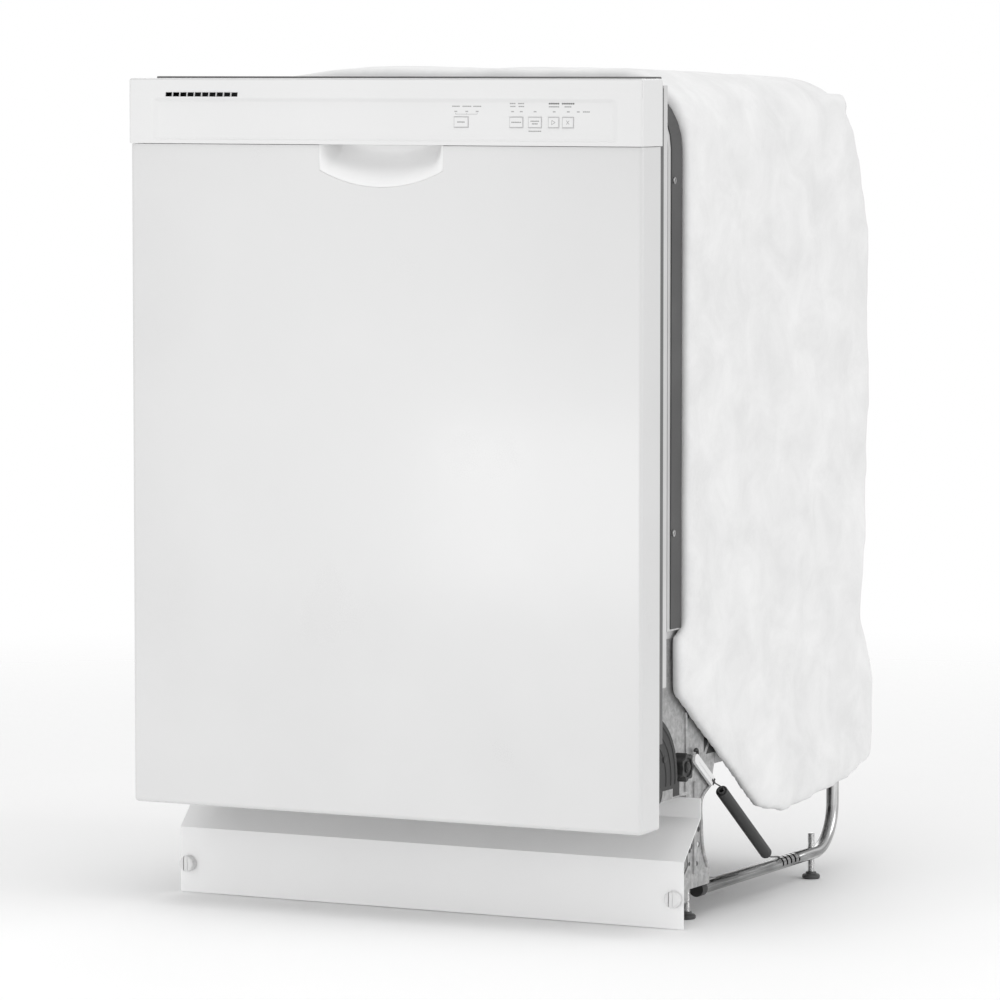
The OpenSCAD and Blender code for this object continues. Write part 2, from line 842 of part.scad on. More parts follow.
// A flat grid of square wires between two corners, thin along Z
module floor_grid(z) {
    step_x = (2 * rack_hw - wire) / (floor_wires + 1);
    rows = 7;
    step_y = (2 * rack_hd - wire) / (rows + 1);
    for (i = [0:floor_wires + 1])
        span([i * step_x - rack_hw, -rack_hd, z], [i * step_x - rack_hw + wire, rack_hd, z + wire]);
    for (j = [0:rows + 1])
        span([-rack_hw, j * step_y - rack_hd, z - 1], [rack_hw, j * step_y - rack_hd + wire, z + wire - 1]);
}

// One standing wall: uprights along one axis and level wires across them
module wall_x(y, low, high) {
    first = wall_inset - rack_hw - wire / 2;
    step = 2 * (rack_hw - wall_inset) / 8;
    for (i = [0:8])
        span([first + i * step, y, low], [first + i * step + wire, y + wire, high]);
    for (z = [low + 30, high - wire])
        span([-rack_hw + 8, y, z], [rack_hw - 8, y + wire, z + wire]);
}
module wall_y(x, low, high) {
    first = wall_inset - rack_hd - wire / 2;
    step = 2 * (rack_hd - wall_inset) / 7;
    for (i = [0:7])
        span([x, first + i * step, low], [x + wire, first + i * step + wire, high]);
    for (z = [low + 30, high - wire])
        span([x, -rack_hd + 8, z], [x + wire, rack_hd - 8, z + wire]);
}
module rack_walls(low, high) {
    wall_x(-rack_hd, low, high);
    wall_x(rack_hd - wire, low, high);
    wall_y(-rack_hw, low, high);
    wall_y(rack_hw - wire, low, high);
}

module upper_rack_floor() { color("darkgray") floor_grid(upper_floor_z); }
module upper_rack_walls() { color("darkgray") rack_walls(upper_floor_z + wire, upper_wall_top); }

module upper_rack_fittings() {
    color("gray") union() {
        span([-9, -20, 550], [9, 199, 562]);
        span([-14, -24, 548], [14, 24, 566]);
        for (y = [-20, 150]) span([-9, y, 562], [9, y + 14, upper_floor_z - 1]);
        rod_z(0, 0, upper_arm_z - 4, 549, upper_post_r);
        rod_z(0, 0, upper_arm_z - 4, upper_arm_z - 0.5, upper_post_r + 4);
        rod_z(0, 0, upper_arm_z + arm_t + 0.5, 549, upper_post_r + 4);
    }
    color("gray") both_sides() union() {
        span([rack_hw, -110, rail_z - 12], [263.5, 110, rail_z + 40]);
        for (y = [-90, 90]) rod_x(263, 264.7, y, rail_z + 6, 5);
    }
}

// Below the walls hang the brackets and stub axles of the lower rack's wheels
module lower_rack_floor() { color("darkgray") floor_grid(lower_floor_z); }
module lower_rack_walls() {
    color("darkgray") rack_walls(lower_floor_z + wire, lower_wall_top);
    color("darkgray") both_sides() for (y = [front_wheel_y, rear_wheel_y]) {
        span([rack_hw - 5, y - 7, wheel_z - 8], [rack_hw, y + 7, lower_floor_z]);
        rod_x(rack_hw - 1, 258, y, wheel_z, axle_r);
    }
}

module wheel_pair(y) {
    color("gray") both_sides() difference() {
        rod_x(rack_hw + 1, rack_hw + 10, y, wheel_z, roller_r);
        rod_x(rack_hw, rack_hw + 12, y, wheel_z, axle_r + run);
    }
}
module front_wheels() { wheel_pair(front_wheel_y); }
module rear_wheels() { wheel_pair(rear_wheel_y); }

// Open-topped basket with a row of cells and a carrying handle
module silverware_basket() {
    t = 2;
    pitch = (basket_len - t) / cells;
    color("gray") union() {
        difference() {
            span([basket_x, basket_y, basket_low],
                [basket_x + basket_w, basket_y + basket_len, basket_high]);
            for (i = [0:cells - 1])
                span([basket_x + t, basket_y + t + i * pitch, basket_low + t],
                    [basket_x + basket_w - t, basket_y + (i + 1) * pitch, basket_high + 1]);
        }
        middle = basket_y + basket_len / 2;
        for (y = [middle - 33, middle + 29])
            span([basket_x + 30, y, basket_high - 20], [basket_x + 36, y + 4, basket_high + 40]);
        span([basket_x + 30, middle - 33, basket_high + 36],
            [basket_x + 36, middle + 33, basket_high + 40]);
    }
}

door_panel();
handle_pocket();
console();
vent_duct();
indicator_lights();
control_board();
latch_body();
inner_door();
door_pad();
hinge_arms();
dispenser();
dispenser_lid();
rinse_cap();
cycle_button();
options_button();
lock_button();
start_button();
cancel_button();
tub();
door_gasket();
wrap_band();
band_screws();
blanket();
latch_strike();
supply_tube();
hinge_bracket_left();
hinge_bracket_right();
base_tube();
tube_caps();
toe_kick();
crossmember();
toe_fastener_left();
toe_fastener_right();
pulley_wheels();
balance_links();
balance_springs();
foot_front_left();
foot_front_right();
foot_rear_left();
foot_rear_right();
sump();
fine_filter();
float();
wash_motor();
drain_pump();
inlet_valve();
junction_box();
heating_element();
rail_guides();
rack_rails();
upper_rack_floor();
upper_rack_walls();
upper_rack_fittings();
upper_spray_arm();
lower_rack_floor();
lower_rack_walls();
front_wheels();
rear_wheels();
silverware_basket();
lower_spray_arm();
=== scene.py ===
"""Built-in dishwasher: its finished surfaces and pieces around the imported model.

Lengths in this script are in millimetres and are scaled to metres as each mesh is made.
X runs to the right as seen from the front, Y to the back, Z up; the origin is on the floor.
"""
import json
import math

import bmesh
import bpy
import numpy as np
from mathutils import Matrix, Vector, noise


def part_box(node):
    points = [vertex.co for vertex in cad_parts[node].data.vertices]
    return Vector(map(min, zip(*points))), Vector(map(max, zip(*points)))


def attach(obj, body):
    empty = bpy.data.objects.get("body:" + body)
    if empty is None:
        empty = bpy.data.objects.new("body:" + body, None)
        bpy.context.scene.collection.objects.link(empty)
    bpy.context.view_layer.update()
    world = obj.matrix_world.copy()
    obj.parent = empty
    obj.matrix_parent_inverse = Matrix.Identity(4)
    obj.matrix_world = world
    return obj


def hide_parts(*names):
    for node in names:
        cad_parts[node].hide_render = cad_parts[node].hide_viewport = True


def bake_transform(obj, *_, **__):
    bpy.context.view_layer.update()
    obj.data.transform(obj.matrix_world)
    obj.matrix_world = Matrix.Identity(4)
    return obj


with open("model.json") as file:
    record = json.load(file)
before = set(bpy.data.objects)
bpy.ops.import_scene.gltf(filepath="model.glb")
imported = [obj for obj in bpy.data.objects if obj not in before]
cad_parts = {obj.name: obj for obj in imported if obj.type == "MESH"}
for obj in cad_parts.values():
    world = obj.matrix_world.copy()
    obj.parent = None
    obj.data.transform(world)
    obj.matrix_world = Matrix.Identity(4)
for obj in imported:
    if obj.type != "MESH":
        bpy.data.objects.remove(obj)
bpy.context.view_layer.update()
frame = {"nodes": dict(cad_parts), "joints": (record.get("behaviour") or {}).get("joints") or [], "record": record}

SCALE = 0.001
QUARTER = math.pi / 2


# ---------------------------------------------------------------- places from the frame

def box(node):
    """Low and high corner of a CAD node, in millimetres."""
    low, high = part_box(node)
    return np.array(low) / SCALE, np.array(high) / SCALE


def joint(name):
    """The record's row for a joint."""
    return next(j for j in frame["joints"] if j["name"] == name)


def pivot(name):
    """Where a hinge joint's axis passes, in millimetres."""
    return np.array(joint(name)["pos_m"]) / SCALE


def middle_of(node):
    """Centre of a CAD node's box, in millimetres."""
    return sum(box(node)) / 2


def around(count):
    """Cosine and sine of evenly spaced angles round a full turn."""
    return [(math.cos(a), math.sin(a)) for a in (2 * math.pi * k / count for k in range(count))]


def smooth_step(t):
    """Eases from 0 to 1 as t does."""
    t = np.clip(t, 0, 1)
    return t * t * (3 - 2 * t)


# ---------------------------------------------------------------- materials

def srgb(grey):
    """A linear colour from a displayed grey level of 0 to 1."""
    linear = grey / 12.92 if grey <= 0.04045 else ((grey + 0.055) / 1.055) ** 2.4
    return (linear, linear, linear, 1.0)


FINISHES = {}


class Finish:
    """A node material, built up by small steps that all read the piece's own coordinates."""

    def __init__(self, name):
        self.material = FINISHES[name] = bpy.data.materials.new(name)
        self.material.use_nodes = True
        self.tree = self.material.node_tree
        self.tree.nodes.clear()
        self.place = self.step("ShaderNodeTexCoord").outputs["Object"]
        self.shader = self.step("ShaderNodeBsdfPrincipled")
        self.output = self.step("ShaderNodeOutputMaterial", Surface=self.shader.outputs[0])

    def step(self, kind, numbered=(), **named):
        """A new node, its inputs set to numbers or linked to other nodes, by place or by name."""
        node = self.tree.nodes.new(kind)
        inputs = dict(enumerate(numbered))
        inputs.update((name.replace("_", " "), value) for name, value in named.items())
        for socket, value in inputs.items():
            if isinstance(value, bpy.types.NodeSocket):
                self.tree.links.new(value, node.inputs[socket])
            elif value is not None:
                node.inputs[socket].default_value = value
        return node

    def noise(self, scale, detail=3.0, rough=0.5, stretch=None, distortion=0.0):
        """A value of 0 to 1 that varies softly, drawn out along an axis by stretch."""
        place = self.place
        if stretch:
            place = self.step("ShaderNodeMapping", Vector=place, Scale=stretch).outputs[0]
        return self.step("ShaderNodeTexNoise", Vector=place, Scale=scale, Detail=detail, Roughness=rough,
                         Distortion=distortion).outputs[0]

    def cells(self, scale):
        """A flat random tone for each cell of a broken pattern."""
        return self.step("ShaderNodeTexVoronoi", Vector=self.place, Scale=scale).outputs["Color"]

    def spread(self, value, low, high, start=0.3, end=0.7):
        """A noise value stretched over a range."""
        return self.step("ShaderNodeMapRange", Value=value, From_Min=start, From_Max=end, To_Min=low,
                         To_Max=high).outputs[0]

    def add(self, a, b, share=1.0):
        """One value with a share of another on top."""
        node = self.step("ShaderNodeMath", (b, share, a))
        node.operation = "MULTIPLY_ADD"
        return node.outputs[0]

    def colours(self, value, stops):
        """Colours the surface from (value, colour) stops."""
        node = self.step("ShaderNodeValToRGB", (value,))
        ramp = node.color_ramp.elements
        while len(ramp) < len(stops):
            ramp.new(0.5)
        for element, (position, colour) in zip(ramp, stops):
            element.position = position
            element.color = colour
        self.tree.links.new(node.outputs[0], self.shader.inputs["Base Color"])

    def bump(self, value, strength, depth):
        """Raises the surface by a value, its depth in millimetres."""
        node = self.step("ShaderNodeBump", Strength=strength, Distance=depth * SCALE, Height=value)
        self.tree.links.new(node.outputs[0], self.shader.inputs["Normal"])

    def roughness(self, value, low, high):
        """Roughness between two levels, from a value."""
        self.tree.links.new(self.spread(value, low, high), self.shader.inputs["Roughness"])

    def fade_out(self, near, far):
        """Turns the surface clear between two distances from the origin, in metres."""
        distance = self.step("ShaderNodeVectorMath", (self.place,))
        distance.operation = "LENGTH"
        share = self.spread(distance.outputs["Value"], 0, 1, near, far)
        clear = self.step("ShaderNodeBsdfTransparent").outputs[0]
        mix = self.step("ShaderNodeMixShader", (share, self.shader.outputs[0], clear))
        self.tree.links.new(mix.outputs[0], self.output.inputs["Surface"])

    def set(self, **numbers):
        """Sets the shader's constants."""
        for name, number in numbers.items():
            self.shader.inputs[name.replace("_", " ")].default_value = number


def moulded(name, grey, rough=(0.3, 0.4), grain=900, depth=0.02, cloud=7, drift=0.02, **numbers):
    """Plastic, paint or rubber: a fine grain over a slow drift of tone."""
    finish = Finish(name)
    slow = finish.noise(cloud, 2)
    fine = finish.noise(grain, 2)
    finish.colours(slow, [(0.3, srgb(grey - drift)), (0.7, srgb(grey + drift))])
    finish.roughness(finish.add(slow, fine, 0.3), *rough)
    finish.bump(fine, 0.5, depth)
    finish.set(**numbers)


def galvanised():
    """Zinc-coated sheet with its spangle and handling marks."""
    finish = Finish("galvanised")
    spangle = finish.cells(260)
    patches = finish.noise(140, 6, 0.65)
    mixed = finish.add(patches, spangle, 0.18)
    finish.colours(mixed, [(0.40, srgb(0.61)), (0.60, srgb(0.68)), (0.82, srgb(0.76))])
    finish.roughness(mixed, 0.55, 0.36)
    finish.bump(patches, 0.4, 0.15)
    finish.set(Metallic=0.65)


def drawn_metal(name, grey, rough, stretch, metallic=1.0):
    """Bright metal with faint drawing lines along one axis."""
    finish = Finish(name)
    lines = finish.noise(420, 3, 0.6, stretch)
    stain = finish.noise(25, 4)
    finish.colours(finish.add(stain, lines, 0.25), [(0.35, srgb(grey - 0.08)), (0.8, srgb(grey + 0.06))])
    finish.roughness(lines, *rough)
    finish.bump(lines, 0.3, 0.02)
    finish.set(Metallic=metallic)


def zinc_tube():
    """Bright drawn tube whose colour carries dark and light streaks along its length, painted reflections; the
    same streaks vary its roughness and surface.
    """
    finish = Finish("zinc_tube")
    streaks_and_painted_reflections = finish.noise(300, 3, 0.6, (1.0, 0.02, 0.02))
    # Dark and light streaks in the colour: painted reflections
    finish.colours(streaks_and_painted_reflections, [(0.36, srgb(0.38)), (0.5, srgb(0.62)), (0.66, srgb(0.86))])
    finish.roughness(streaks_and_painted_reflections, 0.18, 0.30)
    finish.bump(streaks_and_painted_reflections, 0.2, 0.01)
    finish.set(Metallic=1.0)


def fibre(name, grey, drift, sheen):
    """Batt of loose fibres: soft clouds of density under a tangle of fine strands."""
    finish = Finish(name)
    clouds = finish.noise(16, 6, 0.62, distortion=0.5)
    strands = finish.noise(170, 6, 0.7, distortion=0.9)
    tangle = finish.noise(800, 3, 0.8, distortion=0.8)
    tone = finish.add(clouds, strands, 0.18)
    finish.colours(tone, [(0.42, srgb(grey - drift)), (0.78, srgb(grey + drift))])
    finish.roughness(strands, 0.85, 1.0)
    finish.bump(finish.add(finish.add(strands, clouds, 1.6), tangle, 0.3), 0.4, 0.7)
    finish.set(Sheen_Weight=sheen, Sheen_Roughness=0.6, Specular_IOR_Level=0.1)


moulded("white_paint", 0.843, rough=(0.24, 0.32), grain=1100, depth=0.012, drift=0.006, Coat_Weight=0.25,
        Coat_Roughness=0.12)
moulded("white_plastic", 0.886, rough=(0.3, 0.4), grain=1400, depth=0.015, drift=0.006)
# The toe kick's paint is a lighter copy of the door's white paint: painted light that lifts the shade under the
# door's overhang
moulded("toe_paint_lightened_against_shade", 0.94, rough=(0.3, 0.4), grain=1100, depth=0.012, drift=0.006)
# The hand pocket's plastic is a lighter copy of the console's white plastic: painted light that lifts the shade
# inside the scoop
moulded("pocket_plastic_lightened_against_shade", 0.925, rough=(0.34, 0.42), grain=1400, depth=0.015, drift=0.006)
moulded("black_plastic", 0.17, rough=(0.38, 0.5), grain=1100, depth=0.04)
moulded("grey_plastic", 0.40, rough=(0.35, 0.48), grain=1000, depth=0.03, cloud=12)
moulded("light_grey_plastic", 0.80, rough=(0.3, 0.42), grain=1000, depth=0.03, cloud=9)
moulded("dark_grey_steel", 0.31, rough=(0.36, 0.5), grain=700, depth=0.03, cloud=16, drift=0.03,
        Metallic=0.2)
galvanised()
zinc_tube()
drawn_metal("bright_steel", 0.86, (0.2, 0.3), (0.1, 1.0, 1.0))
drawn_metal("screw_steel", 0.66, (0.22, 0.36), (0.1, 1.0, 1.0))
fibre("blanket_fibre", 0.905, 0.025, 0.25)
fibre("pad_fibre", 0.33, 0.05, 0.2)
moulded("seal_rubber", 0.2, rough=(0.5, 0.65), grain=500, depth=0.05)
moulded("coated_wire", 0.62, rough=(0.25, 0.36), grain=400, depth=0.05, cloud=20)
drawn_metal("heater_steel", 0.42, (0.3, 0.5), (1.0, 1.0, 1.0), 0.8)
moulded("lamp_lens", 0.66, rough=(0.15, 0.25), grain=1500, depth=0.01)
moulded("print_ink", 0.58, rough=(0.5, 0.6), grain=2500, depth=0.01, cloud=300)
moulded("print_dark", 0.36, rough=(0.5, 0.6), grain=2500, depth=0.01, cloud=300)


# ---------------------------------------------------------------- mesh building

class Shape:
    """Points and faces in millimetres, gathered into one mesh."""

    def __init__(self):
        self.points = []
        self.faces = []

    def add(self, points, faces):
        """More points, and faces that count from the first of them."""
        start = len(self.points)
        self.points += [tuple(float(c) for c in p) for p in points]
        self.faces += [tuple(start + i for i in f) for f in faces]

    def rows(self, rows, ring=False, loop=False, keep=None):
        """Quads between rows of points; ring closes each row and loop joins the last row to the first."""
        count = len(rows[0])
        faces = []
        for r in range(len(rows) if loop else len(rows) - 1):
            for c in range(count if ring else count - 1):
                if keep is None or keep(r, c):
                    below = (r + 1) % len(rows) * count
                    right = (c + 1) % count
                    faces.append((r * count + c, r * count + right, below + right, below + c))
        self.add([p for row in rows for p in row], faces)

    def block(self, low, high):
        """A box between two corners."""
        flat = [(low[0], low[1]), (high[0], low[1]), (high[0], high[1]), (low[0], high[1])]
        self.capped([[(x, y, z) for x, y in flat] for z in (low[2], high[2])])

    def capped(self, rows):
        """Rings of points joined into a body with flat ends."""
        start = len(self.points)
        self.rows(rows, ring=True)
        sides = range(len(rows[0]))
        last = len(self.points) - len(sides)
        self.faces.append(tuple(start + k for k in sides))
        self.faces.append(tuple(last + k for k in reversed(sides)))

    def tube(self, path, radius, sides=10, closed=False):
        """A round wire along a path of points, with flat ends unless it is closed."""
        path = [Vector(p) for p in path]
        count = len(path)
        side = None
        rows = []
        for i, point in enumerate(path):
            after = path[(i + 1) % count] if closed or i + 1 < count else point
            before = path[i - 1] if closed or i else point
            along = (after - before).normalized()
            if side is None:
                side = along.orthogonal().normalized()
            side = (side - along * side.dot(along)).normalized()
            other = along.cross(side)
            rows.append([point + radius * (c * side + s * other) for c, s in around(sides)])
        if closed:
            self.rows(rows, ring=True, loop=True)
        else:
            self.capped(rows)

    def lathe(self, profile, centre, axis, sides=40, ripple=None):
        """A profile of (radius, distance along the axis) turned about the axis through centre.

        Ripple gives the radius from (radius, distance, share of a turn) where a surface isn't round.
        """
        axes = {"x": ((0, 1, 0), (0, 0, 1), (1, 0, 0)), "y": ((0, 0, 1), (1, 0, 0), (0, 1, 0)),
                "z": ((1, 0, 0), (0, 1, 0), (0, 0, 1))}
        u, v, w = (np.array(a, float) for a in axes[axis])
        rows = []
        for r, h in profile:
            reach = [ripple(r, h, k / sides) if ripple else r for k in range(sides)]
            place = np.array(centre) + h * w
            rows.append([place + q * (c * u + s * v) for q, (c, s) in zip(reach, around(sides))])
        self.rows(rows, ring=True)

    def mirrored(self):
        """Adds the mirror image of everything so far across the middle plane."""
        self.add([(-x, y, z) for x, y, z in self.points], [tuple(reversed(f)) for f in self.faces])
        return self


def placed(name, data):
    """A new object in the scene."""
    new = bpy.data.objects.new(name, data)
    bpy.context.scene.collection.objects.link(new)
    return new


def soften(piece, angle=35):
    """Smooth shading with crisp edges where faces meet at more than the angle."""
    piece.data.shade_smooth()
    piece.data.set_sharp_from_angle(angle=math.radians(angle))
    weighted = piece.modifiers.new("even_normals", "WEIGHTED_NORMAL")
    weighted.keep_sharp = True


def bevel(piece, width, segments=3):
    """Rounds a piece's edges by a width in millimetres."""
    rounded = piece.modifiers.new("edges", "BEVEL")
    rounded.width = width * SCALE
    rounded.segments = segments
    rounded.limit_method = "ANGLE"
    rounded.angle_limit = math.radians(40)
    rounded.use_clamp_overlap = True


def make(name, shape, body, slot, replaces=(), finish=None, edge=0.0, wall=0.0, angle=35, weld=True):
    """Turns a shape into a named piece that rides on a body and takes a slot's finish."""
    mesh = bpy.data.meshes.new(name)
    mesh.from_pydata([tuple(c * SCALE for c in p) for p in shape.points], [], shape.faces)
    work = bmesh.new()
    work.from_mesh(mesh)
    if weld:
        bmesh.ops.remove_doubles(work, verts=work.verts, dist=0.004 * SCALE)
        bmesh.ops.dissolve_degenerate(work, edges=work.edges, dist=0.002 * SCALE)
    bmesh.ops.recalc_face_normals(work, faces=work.faces)
    work.to_mesh(mesh)
    work.free()
    piece = placed(name, mesh)
    mesh.materials.append(FINISHES[finish or slot])
    if wall:
        solid = piece.modifiers.new("wall", "SOLIDIFY")
        solid.thickness = wall * SCALE
        solid.offset = -1
        solid.use_even_offset = True
    if edge:
        bevel(piece, edge)
    soften(piece, angle)
    if body:
        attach(piece, body)
    if replaces:
        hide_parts(*replaces)
    return piece


def apply_modifiers(piece):
    """Bakes a piece's modifiers into its mesh."""
    bpy.context.view_layer.update()
    graph = bpy.context.evaluated_depsgraph_get()
    mesh = bpy.data.meshes.new_from_object(piece.evaluated_get(graph))
    piece.modifiers.clear()
    piece.data = mesh


def cut_away(piece, tool):
    """Cuts one piece's shape out of another for good."""
    cut = piece.modifiers.new("cut", "BOOLEAN")
    cut.operation = "DIFFERENCE"
    cut.solver = "EXACT"
    cut.object = tool
    apply_modifiers(piece)
    bpy.data.objects.remove(tool)


def arc(centre, radius, start, end, steps=8):
    """Points of an arc in a plane, angles in degrees."""
    angles = [math.radians(start + (end - start) * i / steps) for i in range(steps + 1)]
    return [(centre[0] + radius * math.cos(a), centre[1] + radius * math.sin(a)) for a in angles]


def edge_lines(low, high, radius, inner=(), steps=4):
    """Grid lines from low to high that bunch up where an edge is rounded."""
    fan = [radius * (1 - math.tan(math.pi / 4 * i / steps)) for i in range(steps + 1)]
    places = [low + t for t in fan] + [high - t for t in fan] + list(inner)
    return sorted({round(float(p), 3) for p in places if low - 1e-6 <= p <= high + 1e-6})


def rounded_box(shape, xs, ys, zs, radius, sides, keep=None, move=None, square=()):
    """The named sides of a box on given grid lines, with rounded edges.

    Square lists the ends that stay sharp, each as (axis, end).
    """
    lines = [np.array(xs), np.array(ys), np.array(zs)]
    ends = np.array([[line[0] for line in lines], [line[-1] for line in lines]])
    inner = ends + [[radius], [-radius]]
    for axis, end in square:
        inner[end][axis] = ends[end][axis]
    for side in sides:
        axis, end = divmod(["left", "right", "front", "back", "under", "top"].index(side), 2)
        a, b = [i for i in range(3) if i != axis]
        rows = []
        for u in lines[a]:
            row = []
            for v in lines[b]:
                point = np.zeros(3)
                point[a], point[b], point[axis] = u, v, ends[end][axis]
                core = np.clip(point, *inner)
                out = point - core
                length = np.linalg.norm(out)
                rounded = core + out * (radius / length) if length > 1e-9 else point
                row.append(move(side, rounded) if move else rounded)
            rows.append(row)

        def kept(r, c):
            middle = np.zeros(3)
            middle[a] = (lines[a][r] + lines[a][r + 1]) / 2
            middle[b] = (lines[b][c] + lines[b][c + 1]) / 2
            return keep is None or keep(side, middle)
        shape.rows(rows, keep=kept)


def open_shell(low, high, radius, inner_x, inner_y, inner_z, keep, move):
    """Front, sides, top and underside of a box that is open at the back."""
    xs = edge_lines(low[0], high[0], radius, inner_x)
    ys = [y for y in edge_lines(low[1], low[1] + 4 * radius, radius) if y <= low[1] + radius]
    zs = edge_lines(low[2], high[2], radius, inner_z)
    shape = Shape()
    rounded_box(shape, xs, [*ys, *inner_y, high[1]], zs, radius, ["front", "left", "right", "top", "under"],
                keep, move, [(1, 1)])
    return shape


PADS = ["cycle_button", "options_button", "lock_button", "start_button", "cancel_button"]
SLOTS = {row["node"]: row["material_slot"] for row in frame["record"]["subparts"]}
# The toe kick takes the lighter copy of the white paint, painted light against the shade under the door
FINISH_OF = {"toe_kick": "toe_paint_lightened_against_shade"}
# Widths of the CAD nodes' softened edges, where they aren't 0.5
EDGES = {"tub": 0.8, "wrap_band": 0.3, "toe_kick": 0.35, "hinge_bracket_left": 0.3,
         "hinge_bracket_right": 0.3, "hinge_arms": 0.8, "fine_filter": 0.6, "float": 1.2, "rack_rails": 0.8,
         "door_pad": 3.0, "door_gasket": 0.8, "supply_tube": 1.5, "upper_rack_fittings": 0.8, "sump": 0.6,
         "dispenser": 1.0, "dispenser_lid": 1.2, "rinse_cap": 0.8, **dict.fromkeys(PADS, 0.25)}


def dressed(node):
    """Keeps a CAD node and gives it softened edges and its slot's finish."""
    piece = frame["nodes"][node]
    piece.data.materials.clear()
    piece.data.materials.append(FINISHES[FINISH_OF.get(node, SLOTS[node])])
    bevel(piece, EDGES.get(node, 0.5), 2)
    soften(piece)


# ---------------------------------------------------------------- camera, lights and floor

def camera():
    """Long lens to the right of the door, looking slightly down."""
    data = bpy.data.cameras.new("camera")
    data.sensor_width = 36.0
    data.lens = 199.74
    data.clip_end = 60.0
    view = placed("camera", data)
    view.location = (2.7265, -5.4164, 0.9028)
    view.rotation_euler = (QUARTER - math.radians(4.501), 0.0, math.radians(26.864))
    bpy.context.scene.camera = view


def area_light(name, place, target, size, watts):
    """A rectangular lamp at a place, turned to face its target."""
    data = bpy.data.lights.new(name, "AREA")
    data.shape = "RECTANGLE"
    data.size, data.size_y = size
    data.energy = watts
    lamp = placed(name, data)
    lamp.location = place
    lamp.rotation_euler = (Vector(target) - Vector(place)).to_track_quat("-Z", "Y").to_euler()


def studio():
    """White surroundings, soft lights and a pale floor."""
    world = bpy.data.worlds.new("studio")
    world.use_nodes = True
    tree = world.node_tree
    seen = tree.nodes.new("ShaderNodeLightPath")
    strength = tree.nodes.new("ShaderNodeMapRange")
    strength.inputs["To Min"].default_value = 0.72
    strength.inputs["To Max"].default_value = 1.0
    tree.links.new(seen.outputs["Is Camera Ray"], strength.inputs["Value"])
    tree.links.new(strength.outputs[0], tree.nodes["Background"].inputs["Strength"])
    tree.nodes["Background"].inputs["Color"].default_value = (1.0, 1.0, 1.0, 1.0)
    bpy.context.scene.world = world
    bpy.context.scene.view_settings.view_transform = "Standard"
    middle = (0.0, 0.0, 0.45)
    area_light("key", (-1.1, -2.31, 0.95), (0.0, -0.3, 0.6), (0.5, 1.7), 5.2)
    area_light("low_front", (-0.4, -3.0, 0.22), (0.0, -0.3, 0.1), (1.8, 0.3), 11)
    area_light("overhead", (0.2, -1.2, 3.4), (0.2, -0.9, 0.0), (2.4, 2.2), 24)
    area_light("side", (4.6, 0.4, 1.8), middle, (2.4, 2.4), 50)
    area_light("back", (-2.0, 4.6, 2.2), middle, (2.6, 2.0), 24)
    corners = [(x, y, -0.0002) for x, y in ((-14, -14), (14, -14), (14, 14), (-14, 14))]
    mesh = bpy.data.meshes.new("floor")
    mesh.from_pydata(corners, [], [(0, 1, 2, 3)])
    floor = placed("floor", mesh)
    finish = Finish("floor")
    finish.colours(finish.noise(0.8, 2), [(0.3, srgb(0.985)), (0.7, srgb(0.995))])
    finish.roughness(finish.noise(40, 2), 0.85, 0.95)
    finish.bump(finish.noise(60, 2), 0.05, 0.1)
    finish.set(Specular_IOR_Level=0.1)
    finish.fade_out(1.1, 2.8)
    mesh.materials.append(finish.material)


# ---------------------------------------------------------------- door

PANEL_LOW, PANEL_HIGH = box("door_panel")
POCKET_LOW, POCKET_HIGH = box("handle_pocket")
SKIN = 2.5
POCKET_HW = POCKET_HIGH[0] - SKIN
POCKET_BOTTOM = POCKET_LOW[2] + SKIN
POCKET_ARC = 160.0
SEAM_SHARE = 0.08


def pocket_edge(x):
    """Height of the hand pocket's lower edge, an arc between its straight sides."""
    reach = min(abs(x), POCKET_HW)
    return POCKET_BOTTOM + POCKET_ARC - math.sqrt(POCKET_ARC ** 2 - reach ** 2)


def door_panel():
    """Painted sheet with rolled edges, open at the back and at the hand pocket."""
    radius = 4.5
    columns = np.linspace(-POCKET_HW, POCKET_HW, 33)
    flats = np.linspace(PANEL_LOW[0] + 30, -POCKET_HW - 20, 5)
    # The lower return is cut back, to pass in front of the hinge brackets as the door opens
    cut_back = PANEL_LOW[1] + 28.5
    shoulder = pocket_edge(POCKET_HW)
    bend_start = POCKET_BOTTOM - 60
    levels = [*np.linspace(PANEL_LOW[2] + 40, bend_start, 6), bend_start + 25, shoulder]

    def follow(side, p):
        # The top edge is folded tighter than the others
        if p[2] > PANEL_HIGH[2] - radius:
            p[2] = PANEL_HIGH[2] - (PANEL_HIGH[2] - p[2]) * SEAM_SHARE
        if side == "front" and bend_start < p[2] <= shoulder + 0.01:
            share = (p[2] - bend_start) / (shoulder - bend_start)
            p[2] += (pocket_edge(p[0]) - shoulder) * share
        return p

    def keep(side, middle):
        in_pocket = abs(middle[0]) < POCKET_HW
        if side == "under" and middle[1] > cut_back:
            return False
        return not (in_pocket and (side == "top" or side == "front" and middle[2] > shoulder))

    shape = open_shell(PANEL_LOW, PANEL_HIGH, radius, [*columns, *flats, *(-flats)],
                       [PANEL_LOW[1] + 20, cut_back], levels, keep, follow)
    make("door_skin", shape, "door", "white_paint", ["door_panel"], wall=1.0)


